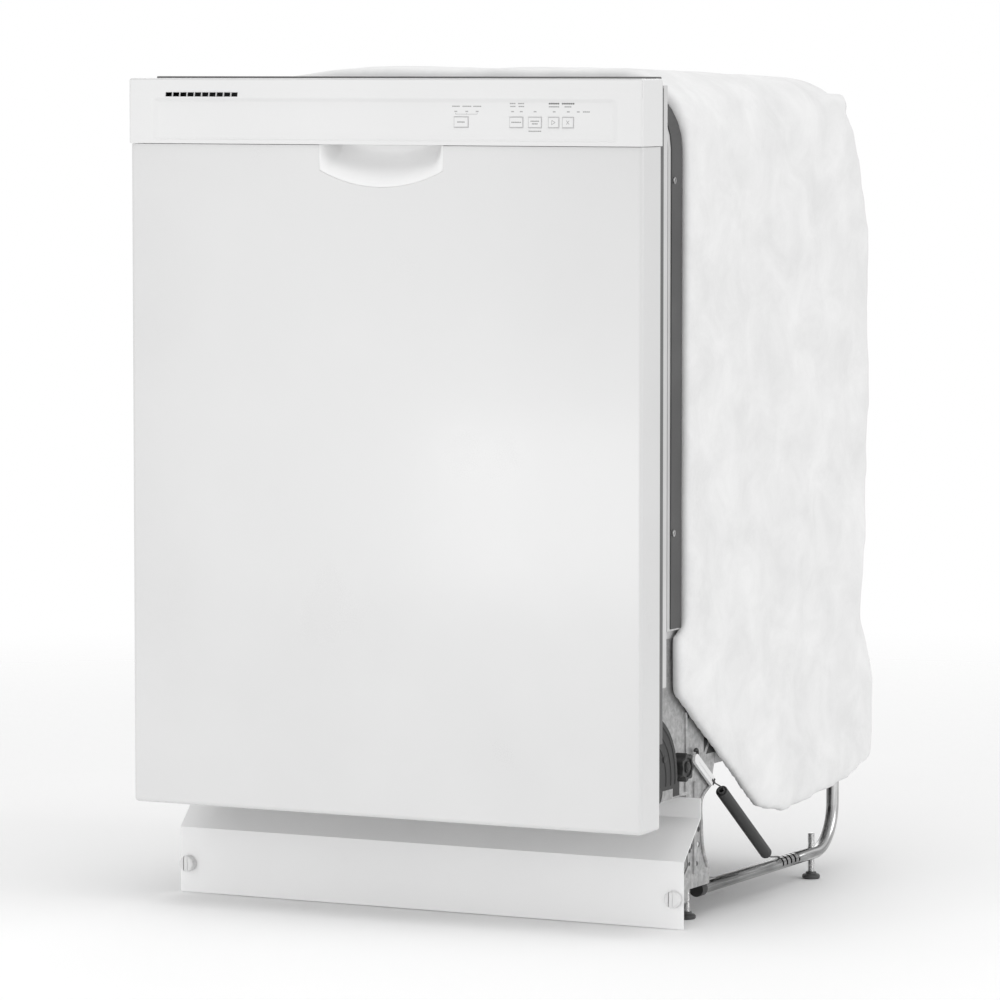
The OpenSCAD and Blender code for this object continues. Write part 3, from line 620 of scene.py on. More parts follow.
def handle_pocket():
    """Scooped insert: deep under the console's edge, rising softly to its lower rim."""
    deepest = POCKET_HIGH[1] - PANEL_LOW[1] - SKIN - 2
    gap = 0.12
    top = PANEL_HIGH[2] + 0.25
    columns = 64
    rows = []
    for r in range(37):
        t = r / 36
        row = []
        for c in range(columns + 1):
            x = (POCKET_HW - gap) * (2 * c / columns - 1)
            low = pocket_edge(x) + gap
            z = top + (low - top) * t
            side = smooth_step((POCKET_HW - abs(x)) / 15)
            rise = smooth_step((z - low) / 38)
            lip = 0.2 * smooth_step((z - low) / 1.2) * smooth_step((POCKET_HW - abs(x)) / 1.2)
            row.append((x, PANEL_LOW[1] + 0.15 + lip + deepest * side * rise, z))
        rows.append(row)
    shape = Shape()
    shape.rows(rows)
    # The scoop takes the lighter copy of the white plastic, painted light against its shade
    make("pocket_scoop", shape, "door", "white_plastic", ["handle_pocket"], "pocket_plastic_lightened_against_shade", wall=1.2)


CONSOLE_LOW, CONSOLE_HIGH = box("console")
FIELD_HW = 275.0
FIELD_DEPTH = 2.0
STRIP_STEP = 1.6
FIELD_Y = CONSOLE_LOW[1] + FIELD_DEPTH
FIELD_LOW = CONSOLE_LOW[2] + 4
FIELD_HIGH = CONSOLE_LOW[2] + 48
VENT_LOW, VENT_HIGH = box("vent_duct")
VENT_Z = middle_of("vent_duct")[2]
VENT_X = (VENT_LOW[0] + 4, VENT_HIGH[0] - 4)
VENT_HALF = 2.3
WINDOWS = 10
WINDOW_RIB = 0.8


def field_depth(x, z):
    """How far the console's face lies back at a place: a soft-edged recess with round upper corners."""
    across = max(0.0, (abs(x) - (FIELD_HW - 9)) / 10)
    up = max(0.0, (z - (FIELD_HIGH - 4)) / 5)
    down = max(0.0, ((FIELD_LOW + 1.5) - z) / 2)
    return FIELD_DEPTH * (1 - smooth_step(math.hypot(across, max(up, down))))


def console():
    """Moulded console: rounded shell, recessed field, vent windows and openings for the pads."""
    radius = 3.0
    gap = 0.3
    pads = [box(name) for name in PADS]
    openings = [(low[0] + 1 - gap, high[0] - 1 + gap) for low, high in pads]
    pad_low = pads[0][0][2] + 1 - gap
    pad_high = pads[0][1][2] - 1 + gap
    pitch = (VENT_X[1] - VENT_X[0] + WINDOW_RIB) / WINDOWS
    windows = [(VENT_X[0] + i * pitch, VENT_X[0] + (i + 1) * pitch - WINDOW_RIB) for i in range(WINDOWS)]
    slopes = np.linspace(FIELD_HW - 9, FIELD_HW + 1, 9)
    inner_x = [*slopes, *(-slopes), *np.linspace(-160, 60, 9), 250.0]
    inner_x += [x for pair in openings + windows for x in pair]
    inner_z = [*np.linspace(FIELD_LOW - 0.5, FIELD_LOW + 1.5, 5), pad_low, pad_high, 858.0, 868.5, 875.5]
    inner_z += [*np.linspace(FIELD_HIGH - 4, FIELD_HIGH + 1, 7), VENT_Z - VENT_HALF, VENT_Z + VENT_HALF]

    def move(side, p):
        if p[2] < CONSOLE_LOW[2] + radius:
            p[2] = CONSOLE_LOW[2] + (p[2] - CONSOLE_LOW[2]) * SEAM_SHARE
        if side == "front":
            p[1] += field_depth(p[0], p[2])
            # The strip above the field steps back towards the top
            p[1] += STRIP_STEP * smooth_step((p[2] - FIELD_HIGH - 1) / 9)
        if side == "top":
            p[1] += STRIP_STEP * smooth_step(1 - (p[1] - CONSOLE_LOW[1]) / radius)
        return p

    def keep(side, m):
        if side != "front":
            return True
        in_pad = pad_low < m[2] < pad_high and any(a < m[0] < b for a, b in openings)
        in_vent = abs(m[2] - VENT_Z) < VENT_HALF and any(a < m[0] < b for a, b in windows)
        return not (in_pad or in_vent)

    shape = open_shell(CONSOLE_LOW, CONSOLE_HIGH, radius, inner_x, [CONSOLE_LOW[1] + 20], inner_z, keep, move)
    make("console_shell", shape, "door", "white_plastic", ["console"], wall=2.0)


# Height of printed marks over the face they stand on, and how far they reach into it
PRINT_UP = 0.06
PRINT_DOWN = 0.2


def frame_mark(shape, x0, x1, z0, z1, y, line=0.22):
    """A thin printed rectangle."""
    sides = [(x0, x1, z0, z0 + line), (x0, x1, z1 - line, z1), (x0, x0 + line, z0 + line, z1 - line),
             (x1 - line, x1, z0 + line, z1 - line)]
    for left, right, low, high in sides:
        shape.block((left, y - PRINT_UP, low), (right, y + PRINT_DOWN, high))


def bar_mark(shape, x0, x1, z, height, y, cuts):
    """A printed bar with small breaks, where a label stands."""
    step = (x1 - x0) / cuts
    for x in (x0 + i * step for i in range(cuts)):
        shape.block((x, y - PRINT_UP, z - height / 2), (x + 0.82 * step, y + PRINT_DOWN, z + height / 2))


def line_mark(shape, points, y, width=0.4):
    """A printed line through (x, z) points."""
    for (x0, z0), (x1, z1) in zip(points, points[1:]):
        half = width / 2 / math.hypot(x1 - x0, z1 - z0)
        nx, nz = (z0 - z1) * half, (x1 - x0) * half
        ring = [(x0 + nx, z0 + nz), (x1 + nx, z1 + nz), (x1 - nx, z1 - nz), (x0 - nx, z0 - nz)]
        shape.capped([[(x, y + up, z) for x, z in ring] for up in (-0.08, PRINT_DOWN)])


# Marks on each pad, from its middle: bars as (start, end, up, breaks), lines as (across, up) points
PAD_BARS = {"cycle_button": [(-4.2, 4.6, 0, 5)], "options_button": [(-5.4, 6, 0, 6)],
            "lock_button": [(-4.8, 5.2, 1.2, 6), (-3.2, 3.6, -1.5, 4)]}
PAD_LINES = {"start_button": [[(-1.9, -2.2), (2.1, 0), (-1.9, 2.2), (-1.9, -2.4)]],
             "cancel_button": [[(-1.7, -2), (1.7, 2)], [(-1.7, 2), (1.7, -2)]]}


def pad_marks():
    """Outlines on the five pads, bars for their labels, a start triangle and a cancel cross."""
    for name in PADS:
        low, high = box(name)
        x, y, z = (low[0] + high[0]) / 2, low[1], (low[2] + high[2]) / 2
        shape = Shape()
        frame_mark(shape, low[0] + 1.3, high[0] - 1.3, low[2] + 1.3, high[2] - 1.3, y)
        for start, end, up, cuts in PAD_BARS.get(name, []):
            bar_mark(shape, x + start, x + end, z + up, 1.1, y, cuts)
        for points in PAD_LINES.get(name, []):
            line_mark(shape, [(x + across, z + up) for across, up in points], y)
        make(name.replace("button", "marks"), shape, name, "grey_plastic", finish="print_ink", weld=False)


# Bars on the console's field as (start, end, height over the row of lights, thickness, breaks)
LABEL_BARS = [(84, 93, 5.3, 1, 5), (96, 106.5, 5.3, 1, 5), (108.5, 118, 5.3, 1, 5),
              (150.8, 157.5, 8.3, 1.1, 3), (151.4, 157.5, 5.3, 1.1, 3), (160.3, 167.5, 8.3, 1.1, 3),
              (160.9, 167.5, 5.3, 1.1, 3), (195.6, 207.5, 5.1, 1.1, 6), (213.5, 221.5, 5.1, 1.1, 4),
              (234.5, 242.5, 0, 1.1, 4), (172.3, 187, -20, 1, 7)]
BOLD_BARS = [(195.5, 207.8, 8.3, 1.5, 5), (210.5, 225, 8.3, 1.5, 6)]
LIGHTS_X = (88.2, 100.9, 113.0, 153.9, 163.9, 179.7, 201.6, 217.7, 229.1)


def console_marks():
    """Small plain bars on the console's field where printed labels stand, and a row of indicator lenses."""
    y = FIELD_Y
    light_row = middle_of("indicator_lights")[2]
    rows = (("label_bars", LABEL_BARS, "print_ink"), ("label_bars_bold", BOLD_BARS, "print_dark"))
    for name, bars, ink in rows:
        shape = Shape()
        for x0, x1, up, height, cuts in bars:
            bar_mark(shape, x0, x1, light_row + up, height, y, cuts)
        if bars is LABEL_BARS:
            # A bracket under the first three lights
            high, low = light_row - 1.6, light_row - 2.8
            line_mark(shape, [(88, high), (88, low), (113, low), (113, high)], y, 0.3)
            line_mark(shape, [(100.7, high), (100.7, low)], y, 0.3)
        make(name, shape, "door", "grey_plastic", finish=ink, weld=False)
    lenses = Shape()
    for x in LIGHTS_X:
        lenses.block((x - 1.6, y - 0.12, light_row - 0.6), (x + 1.6, y + 1, light_row + 0.6))
    make("indicator_lenses", lenses, "door", "lamp_lens", ["indicator_lights"], edge=0.1, weld=False)


def inner_door():
    """Deep-drawn liner: a flanged tray with a soft-edged bulge and pressed ribs."""
    low, high = box("inner_door")
    back = -251.0
    bulge = high[1] - back
    cut_x, cut_z = 272.0, 255.0
    liner_top = high[2] - 11
    radius = 1.5
    rib_places = [-160.0, -80.0, 0.0, 80.0, 160.0]
    inner_x = [*np.linspace(-238, 238, 69), cut_x, -cut_x]
    inner_z = [*np.linspace(212, 838, 80), cut_z]
    xs = edge_lines(low[0], high[0], radius, inner_x)
    zs = edge_lines(low[2], liner_top, radius, inner_z)
    ys = [low[1], back - radius, *[y for y in edge_lines(low[1], back, radius) if y > back - radius]]
    ys = sorted(set(round(y, 3) for y in ys))

    def move(side, p):
        if side == "back":
            edge_x = (235 - abs(p[0])) / 14
            edge_z = min(p[2] - 215, 835 - p[2]) / 14
            rise = smooth_step(edge_x) * smooth_step(edge_z)
            inside = smooth_step((200 - abs(p[0])) / 8)
            band = smooth_step((abs(p[2] - 560) - 100) / 8) * smooth_step(min(p[2] - 245, 800 - p[2]) / 10)
            rib = max(math.exp(-((p[0] - x) / 9) ** 2) for x in rib_places)
            p[1] += bulge * rise - 2.5 * rib * inside * band * rise
        return p

    def keep(side, m):
        corner = abs(m[0]) > cut_x and m[2] < cut_z
        if side == "under":
            return abs(m[0]) <= cut_x
        return side == "top" or not corner

    shape = Shape()
    rounded_box(shape, xs, ys, zs, radius, ["back", "left", "right", "top", "under"], keep, move, [(1, 0)])
    make("door_liner", shape, "door", "grey_plastic", ["inner_door"], wall=2.0)
    lip = Shape()
    lip.block((-296, CONSOLE_HIGH[1] + 0.2, liner_top - 3), (296, back, high[2]))
    make("liner_lip", lip, "door", "grey_plastic", edge=0.8)


def dispenser():
    """Detergent dispenser: a row of ribs on its face and a grip round the rinse aid cap."""
    low, high = box("dispenser")
    shape = Shape()
    for i in range(7):
        z = low[2] + 22 + i * 2.6
        shape.block((20, high[1] - 0.5, z), (76, high[1] + 0.5, z + 1.2))
    make("dispenser_ribs", shape, "door", "light_grey_plastic", edge=0.3, weld=False)
    cap = pivot("rinse_cap_turn")
    shape = Shape()
    for c, s in around(24):
        shape.lathe([(0, 0), (0.9, 0), (0.9, 1.2), (0.5, 1.7), (0, 1.7)],
                    (cap[0] + 15.4 * c, cap[1] + 0.9, cap[2] + 15.4 * s), "y", 8)
    make("rinse_cap_grip", shape, "rinse_cap", "light_grey_plastic")


# Outer faces, across the width, of the hinge arms and of the galvanised plates behind them
ARM_FACE = 296.0
PLATE_FACE = 285.2


def hinge_quadrants():
    """Curved ribs and bosses on the hinge arms' outer faces."""
    axis = pivot("door_hinge")
    # The quadrant's edge is an arc about a place in front of the hinge and above it
    ahead, up = 20.0, 12.0
    y, z = axis[1] - ahead, axis[2] + up
    shape = Shape()
    for radius, half in ((66.5, 2.6), (55, 1.3), (43, 1.3)):
        ring = [(-0.5, -half), (0.3, -half), (0.7, 0.5 - half), (0.7, half - 0.5), (0.3, half), (-0.5, half)]
        angles = np.linspace(-math.asin((up - 4) / radius), math.acos((ahead + 3) / radius), 25)
        shape.capped([[(ARM_FACE + x, y + (radius + r) * math.cos(a), z + (radius + r) * math.sin(a))
                       for x, r in ring] for a in angles])
    stud = (ARM_FACE, axis[1] + 18, axis[2] + 33)
    shape.lathe([(0, 1.2), (3.2, 1.2), (3.8, 0.8), (3.8, -0.4)], stud, "x", 20)
    make("quadrant_ribs", shape.mirrored(), "door", "black_plastic")


# ---------------------------------------------------------------- hinge, springs and base

def pin_head(shape, x, y, z, radius):
    """A riveted pin end that stands a little proud of x."""
    profile = [(0, 1.4), (radius * 0.55, 1.35), (radius * 0.85, 0.9), (radius, 0.2), (radius, -1)]
    shape.lathe(profile, (x, y, z), "x", 24)


def depth(d):
    """A place in Y, given as its distance behind the door's front face."""
    return PANEL_LOW[1] + d


def brackets():
    """Rolled edges, pressed ribs and pins' heads on the galvanised hinge brackets, with black patches of painted
    shade laid on the plates.
    """
    wheel = pivot("pulley_turn")
    axis = pivot("door_hinge")
    shape = Shape()
    # Rolled rear edge of the leg, a pressed rib beside it and a fold up the plate
    lines = (([(198, 54), (186, 74), (182, 100), (182, 127), (205, 141)], 2.2),
             ([(165, 50), (165, 90), (165, 148)], 2.4), ([(143, 140), (143.5, 190), (143, 224)], 2.0))
    for line, radius in lines:
        shape.tube(smoothed([(PLATE_FACE + 0.2, depth(d), z) for d, z in line]), radius, 14)
    for d, z in ((84, 262), (172, 284)):
        pin_head(shape, PLATE_FACE + 0.1, depth(d), z, 4)
    make("bracket_pressings", shape.mirrored(), "cabinet", "galvanised")
    shape = Shape()
    # Small black discs laid on the plate: the painted shade of its small holes
    for d, z, r in ((154, 76, 2.6), (153, 62, 2.2), (172, 60, 2.6), (176, 96, 3.0), (156, 112, 2.4)):
        shape.lathe([(0, 0.12), (r, 0.12), (r, -0.3)], (PLATE_FACE, depth(d), z), "x", 20)
    # Black patches laid flat on the plate's rear corner and below the wheel: painted shade
    for outline in ([(189, 176), (189, 224), (206, 222), (217, 206)], [(194, 174), (217, 199), (217, 174)],
                    [(112, 138), (112, 156), (128, 158), (128, 138)], [(146, 212), (146, 236), (160, 230)]):
        shape.capped([[(PLATE_FACE + out, depth(d), z) for d, z in outline] for out in (-0.3, 0.12)])
    pin_head(shape, PLATE_FACE + 14, wheel[1], wheel[2], 4.6)
    pin_head(shape, ARM_FACE + 1.5, axis[1], axis[2], 6.2)
    make("bracket_piercings", shape.mirrored(), "cabinet", "black_plastic")


def pulley_wheels():
    """Seven-lobed wheels with a hub and a sunk face."""
    low, high = box("pulley_wheels")
    inner = PLATE_FACE + 1
    thick = high[0] - inner
    rim = (high[2] - low[2]) / 2 - 1.2
    profile = [(0.30, 0.0), (0.95, 0.0), (1.0, 0.08), (1.0, 0.92), (0.95, 1.0), (0.72, 1.0), (0.68, 0.86),
               (0.42, 0.86), (0.40, 1.0), (0.30, 1.0), (0.30, 0.0)]

    def lobed(r, along, turn):
        share = r / rim
        edge = smooth_step((share - 0.5) / 0.45)
        return r + 1.5 * math.cos(14 * math.pi * turn) * edge * share - 0.4 * edge

    shape = Shape()
    wheel = pivot("pulley_turn")
    scaled = [(rim * r, thick * h) for r, h in profile]
    shape.lathe(scaled, (inner, wheel[1], wheel[2]), "x", 112, lobed)
    make("lobed_wheels", shape.mirrored(), "pulley_wheels", "black_plastic", ["pulley_wheels"], angle=50)


SLOPE = math.atan2(joint("balance_slide")["axis"][2], -joint("balance_slide")["axis"][1])
LINK_X = 289.25
SPRING_X = 292.5
LINK_START = np.array([0.0, -153.0, 176.0])
LINK_LENGTH = 59.0
LINK_HALF = 5.4


def on_slope(x, along, off=0.0):
    """A place on the balance spring's line: distance along it, and across it upward."""
    return (x, LINK_START[1] + along * math.cos(SLOPE) + off * math.sin(SLOPE),
            LINK_START[2] - along * math.sin(SLOPE) + off * math.cos(SLOPE))


def balance_links():
    """White straps with wire clips at both ends."""
    shape = Shape()
    outline = [*arc((LINK_HALF, 0), LINK_HALF, 90, 270, 10),
               *arc((LINK_LENGTH - LINK_HALF, 0), LINK_HALF, 270, 450, 10)]
    shape.capped([[on_slope(x, along, off) for along, off in outline] for x in (LINK_X - 1.7, LINK_X + 1.7)])
    # A shallow stiffening ridge down the strap's face
    shape.tube([on_slope(LINK_X + 1.5, s) for s in np.linspace(12, LINK_LENGTH - 12, 10)], 0.9, 8)
    make("link_straps", shape.mirrored(), "balance_link", "white_plastic", ["balance_links"], edge=0.4)
    clips = Shape()
    hoop = arc((2, 5.6), 3.6, math.degrees(-0.2), math.degrees(3.3), 12)
    clips.tube([on_slope(LINK_X, along, off) for along, off in hoop], 1.7, 8)
    # A tee holds the spring's hook at the strap's lower end
    clips.tube([on_slope(LINK_X + 1.4, LINK_LENGTH - 8), on_slope(LINK_X + 1.9, LINK_LENGTH - 1)], 1.3, 8)
    clips.tube([on_slope(LINK_X + 1.7, LINK_LENGTH - 3, off) for off in (-3.6, 3.6)], 1.2, 8)
    make("link_clips", clips.mirrored(), "balance_link", "black_plastic")


def balance_springs():
    """Springs in black sleeves; their hooks hold the strap above and a slot of the base tube below."""
    top, end = 76.0, 220.0
    shape = Shape()
    sleeve = [(4.6, 12), (4.6, 0.6), (5.0, 0.0), (6.0, 0.0), (6.5, 0.7), (6.5, end - top - 2),
              (5.6, end - top), (0, end - top)]
    tilt = np.array(Matrix.Rotation(-SLOPE, 3, "X"))
    start = np.array(on_slope(SPRING_X, top))

    def on_spring(r, h, a):
        return start + tilt @ np.array([r * math.cos(a), h, r * math.sin(a)])

    def slack(h, a):
        """A sleeve is never quite round or straight."""
        return 0.18 * math.sin(h * 0.21 + 2 * a) if 1 < h < 140 else 0

    angles = [2 * math.pi * k / 36 for k in range(36)]
    shape.rows([[on_spring(r + slack(h, a), h, a) for a in angles] for r, h in sleeve], ring=True)
    make("spring_sleeves", shape.mirrored(), None, "black_plastic", ["balance_springs"])
    coil = Shape()
    turns, steps, pitch = 7, 14, 1.6
    helix = [i / steps for i in range(turns * steps + 1)]
    coil.tube([on_spring(3.4, t * pitch - 2.0, 2 * math.pi * t) for t in helix], 0.75, 6)
    hook = [(SPRING_X, 2, 3.2), (SPRING_X, -5, 2.6), (SPRING_X, -13, 0.6), (SPRING_X - 1, -19, -0.6),
            (LINK_X + 1, -25, -0.4), (LINK_X - 2, -28.6, 0.2), (LINK_X - 4, -30, 1.4)]
    coil.tube(smoothed([on_slope(x, top + along, off) for x, along, off in hook]), 0.8, 8)
    tube_x = box("base_tube")[1][0] - 7
    lower = [on_slope(SPRING_X, end - 6), on_slope(SPRING_X, end + 4), (SPRING_X - 7, depth(360), 43.4),
             (tube_x + 7, depth(385), 39.5), (tube_x + 4, depth(404), 37), (tube_x + 2.5, depth(411), 35),
             (tube_x + 2.2, depth(412.6), 32)]
    coil.tube(smoothed(lower), 0.9, 8)
    make("spring_wires", coil.mirrored(), None, "screw_steel", finish="dark_grey_steel")
    for name in ("spring_sleeves", "spring_wires"):
        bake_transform(bpy.data.objects[name], "balance_link", "cabinet",
                 start=tuple(c * SCALE for c in on_slope(0, top)),
                 end=tuple(c * SCALE for c in on_slope(0, end)))


def smoothed(points, steps=6):
    """A smooth curve through given points."""
    points = [np.array(p, float) for p in points]
    padded = [2 * points[0] - points[1], *points, 2 * points[-1] - points[-2]]
    path = []
    for a, b, c, d in zip(padded, padded[1:], padded[2:], padded[3:]):
        for i in range(steps):
            t = i / steps
            path.append(0.5 * (2 * b + (c - a) * t + (2 * a - 5 * b + 4 * c - d) * t * t
                               + (3 * b - a - 3 * c + d) * t ** 3))
    return [*path, points[-1]]


def base_tube():
    """One bent tube with open ends and a row of spring slots on each side."""
    low, high = box("base_tube")
    radius = 7.0
    bend = 50.0
    x = high[0] - radius
    bottom = low[2] + radius
    top = high[2] - radius
    back = high[1] - radius
    half = [(x, low[1], bottom), (x, low[1] + 60, bottom), (x, back - bend - 120, bottom)]
    half += [(x, y, z) for y, z in arc((back - bend, bottom + bend), bend, 270, 360, 14)]
    half += [(a, back, z) for a, z in arc((x - bend, top - bend), bend, 0, 90, 14)]
    path = half + [(-a, b, c) for a, b, c in reversed(half)]
    shape = Shape()
    shape.tube(path, radius, 36)
    piece = make("bent_tube", shape, "cabinet", "zinc_tube", ["base_tube"])
    cutters = Shape()
    for y in (depth(d) for d in (412, 423, 434, 445, 456)):
        cutters.block((x - 3, y - 1.9, bottom - 2), (x + 9, y + 1.9, bottom + 12))
    cutters.lathe([(0, -1), (5.8, -1), (5.8, 60), (0, 60)], (x, low[1], bottom), "y", 32)
    cutters.mirrored()
    cut_away(piece, make("tube_cutter", cutters, "cabinet", "zinc_tube", finish="dark_grey_steel"))
    soften(piece)


def levelling_feet():
    """Threaded studs in round pads."""
    for end in ("front", "rear"):
        for side in ("left", "right"):
            name = f"foot_{end}_{side}"
            low, high = box(name)
            x, y = middle_of(name)[:2]
            pad_r = (high[0] - low[0]) / 2
            shape = Shape()
            shape.lathe([(0, 0), (pad_r - 1, 0), (pad_r, 1), (pad_r, 3.4), (pad_r - 1.2, 4.8), (6.2, 5.6),
                         (5.6, 7.6), (3.4, 7.8), (0, 7.8)], (x, y, 0), "z", 36)
            make(f"{name}_pad", shape, name, "dark_grey_steel", [name])
            top = high[2]
            step, pitch = 0.3, 1.25

            def thread(r, z, turn):
                taper = 0.82 + 0.18 * smooth_step((top - z) / 1.2)
                return r and (r + 0.75 * abs(2 * ((z / pitch - turn) % 1) - 1)) * taper

            stud = Shape()
            turned = [(3.25, 7 + i * step) for i in range(int((top - 7) / step) + 1)]
            stud.lathe([*turned, (0, top)], (x, y, 0), "z", 20, thread)
            make(f"{name}_stud", stud, name, "dark_grey_steel", finish="bright_steel", angle=60)


def toe_fasteners():
    """Round ribbed knobs with one deep slot."""
    for side in ("left", "right"):
        name = f"toe_fastener_{side}"
        low, high = box(name)
        x, _, z = middle_of(name)
        radius = (high[0] - low[0]) / 2
        front = low[1]
        profile = [(0, 0.0), (radius - 2.4, 0.0), (radius - 0.9, 0.6), (radius - 0.2, 1.6),
                   (radius - 0.2, 6.2), (radius, 6.9), (radius, 7.5), (5, 7.6), (5, 15.8), (0, 15.8)]

        def ribbed(r, h, turn):
            return r - 0.28 * (0.6 < h < 6.5 and round(-72 * turn) % 6 < 3)

        shape = Shape()
        shape.lathe(profile, (x, front, z), "y", 72, ribbed)
        piece = make(f"{name}_knob", shape, name, "white_plastic", [name])
        cutter = Shape()
        cutter.block((x - 3.4, front - 2, z - 12), (x - 2.2, front + 4.5, z + 12))
        cutter.block((x + 1.6, front - 2, z - 12), (x + 2.1, front + 0.7, z + 12))
        cut_away(piece, make("knob_cutter", cutter, name, "white_plastic", weld=False))
        bevel(piece, 0.15, 2)
        soften(piece)


def band_screws():
    """Pan-head screws with a driver recess."""
    low, high = box("band_screws")
    y = middle_of("band_screws")[1]
    head = (high[1] - low[1]) / 2
    face = high[0] - 2
    shape = Shape()
    for z in (low[2] + head, high[2] - head):
        shape.lathe([(0, 0.4), (1.1, 0.7), (1.5, 1.8), (2.6, 1.8), (3.6, 1.3), (head, 0.3), (head, -0.2),
                     (2, -0.2), (2, -5)], (face, y, z), "x", 28)
    make("pan_head_screws", shape.mirrored(), "cabinet", "screw_steel", ["band_screws"])


# ---------------------------------------------------------------- blanket

def blanket():
    """Batt of white fibre wrapped over the tub: swollen, lumpy and soft-edged."""
    piece = placed("blanket_batt", frame["nodes"]["blanket"].data.copy())
    remesh = piece.modifiers.new("remesh", "REMESH")
    remesh.mode = "VOXEL"
    remesh.voxel_size = 5.5 * SCALE
    relax = piece.modifiers.new("relax", "SMOOTH")
    relax.factor = 0.5
    relax.iterations = 16
    apply_modifiers(piece)
    mesh = piece.data
    points = np.array([v.co for v in mesh.vertices], float) / SCALE
    normals = np.array([v.normal for v in mesh.vertices], float)
    # How far each point stands off the tub
    tub_hw, tub_top, tub_back = 285.5, 867.5, 246.5
    clear = np.max([np.abs(points[:, 0]) - tub_hw, points[:, 2] - tub_top, points[:, 1] - tub_back], axis=0)
    loose = smooth_step(clear / 9)
    front = box("blanket")[0][1]
    loose *= 0.25 + 0.75 * smooth_step((points[:, 1] - front) / 50)
    lump = np.array([batt_lump(Vector(p)) for p in points])
    moved = points + normals * (lump * loose)[:, None]
    moved[:, 1] = np.maximum(moved[:, 1], front)
    # The roof's left shoulder lies flatter than the right one, and the whole roof sinks towards the back
    sag = 0.42 * smooth_step((-85 - moved[:, 0]) / 160)
    sag = 1 - (1 - sag) * (1 - 0.31 * np.clip((moved[:, 1] + 100) / 330, 0, 1) ** 1.3)
    above = moved[:, 2] - tub_top
    moved[:, 2] -= sag * np.maximum(above, 0)
    # The upper rear corners are pulled in
    corner = smooth_step((np.abs(moved[:, 0]) - 180) / 119) * smooth_step((moved[:, 1] - 140) / 160)
    corner *= smooth_step((moved[:, 2] - 700) / 190) * smooth_step(clear / 12)
    inward = np.array([10.0, 18.0, 8.0]) * [[side, 1, 1] for side in np.sign(moved[:, 0])]
    moved -= corner[:, None] * inward
    mesh.vertices.foreach_set("co", (moved * SCALE).ravel())
    mesh.update()
    mesh.materials.clear()
    mesh.materials.append(FINISHES["blanket_fibre"])
    mesh.shade_smooth()
    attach(piece, "cabinet")
    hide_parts("blanket")


def batt_lump(p):
    """Height of the batt's surface over its mean, from broad swells down to tufts."""
    broad = noise.noise(p / 150)
    middle = noise.noise(p / 55 + Vector((7, 3, 1)))
    tuft = noise.noise(p / 17 + Vector((1, 9, 4)))
    fine = noise.noise(p / 7 + Vector((5, 2, 8)))
    return 3.4 * broad + 2.2 * middle + 0.45 * tuft + 0.12 * fine


# ---------------------------------------------------------------- racks and wash gear

def corner_path(a, b, up_a, up_b, bend):
    """A wire that comes down at a, runs to b and goes up again, with rounded corners."""
    a, b = np.array(a, float), np.array(b, float)
    along = (b - a) / np.linalg.norm(b - a)
    rise = np.array([0, 0, 1.0])
    turn = [(bend * (1 - math.cos(t)), bend * (1 - math.sin(t))) for t in np.linspace(0, QUARTER, 5)]
    down = [a + along * c + rise * s for c, s in turn]
    up = [b - along * s + rise * c for c, s in turn]
    return [a + rise * up_a, *down, *up, b + rise * up_b]


def rim_path(hw, hd, z, bend):
    """A closed rounded rectangle at one height."""
    corners = [(hw - bend, hd - bend, 0), (bend - hw, hd - bend, 90), (bend - hw, bend - hd, 180),
               (hw - bend, bend - hd, 270)]
    return [(x, y, z) for cx, cy, a in corners for x, y in arc((cx, cy), bend, a, a + 90, 5)]


def rack(name, floor, walls, body, tine_rows, tine_high):
    """A coated wire rack: bent floor wires both ways, rims and rows of tines."""
    corner = box(floor)[1]
    hw, hd, z = corner - 2
    top = box(walls)[1][2] - 2.4
    shape = Shape()
    for x in np.linspace(-hw + 16, hw - 16, 15):
        shape.tube(corner_path((x, -hd, z), (x, hd, z), top - z, top - z, 14), 1.9, 8)
    for y in np.linspace(-hd + 16, hd - 16, 11):
        shape.tube(corner_path((-hw, y, z - 1), (hw, y, z - 1), top - z, top - z, 14), 1.9, 8)
    shape.tube(rim_path(hw, hd, top, 18), 2.6, 10, closed=True)
    shape.tube(rim_path(hw + 0.6, hd + 0.6, z + 34, 18), 2.0, 8, closed=True)
    lean = 0.12 * tine_high
    for x in tine_rows:
        shape.tube([(x, -hd + 12, z + 1), (x, hd - 12, z + 1)], 1.9, 8)
        for y in np.arange(-hd + 26, hd - 20, 25.0):
            tip = (x, y + lean, z + tine_high)
            shape.tube([(x, y, z), (x, y + lean * 0.4, z + tine_high * 0.5), tip], 1.7, 8)
            shape.lathe([(0, 1.6), (1.2, 1.3), (2.0, 0), (1.2, -1.3), (0, -1.6)], tip, "z", 8)
    make(name, shape, body, "coated_wire", [floor, walls], angle=50, weld=False)


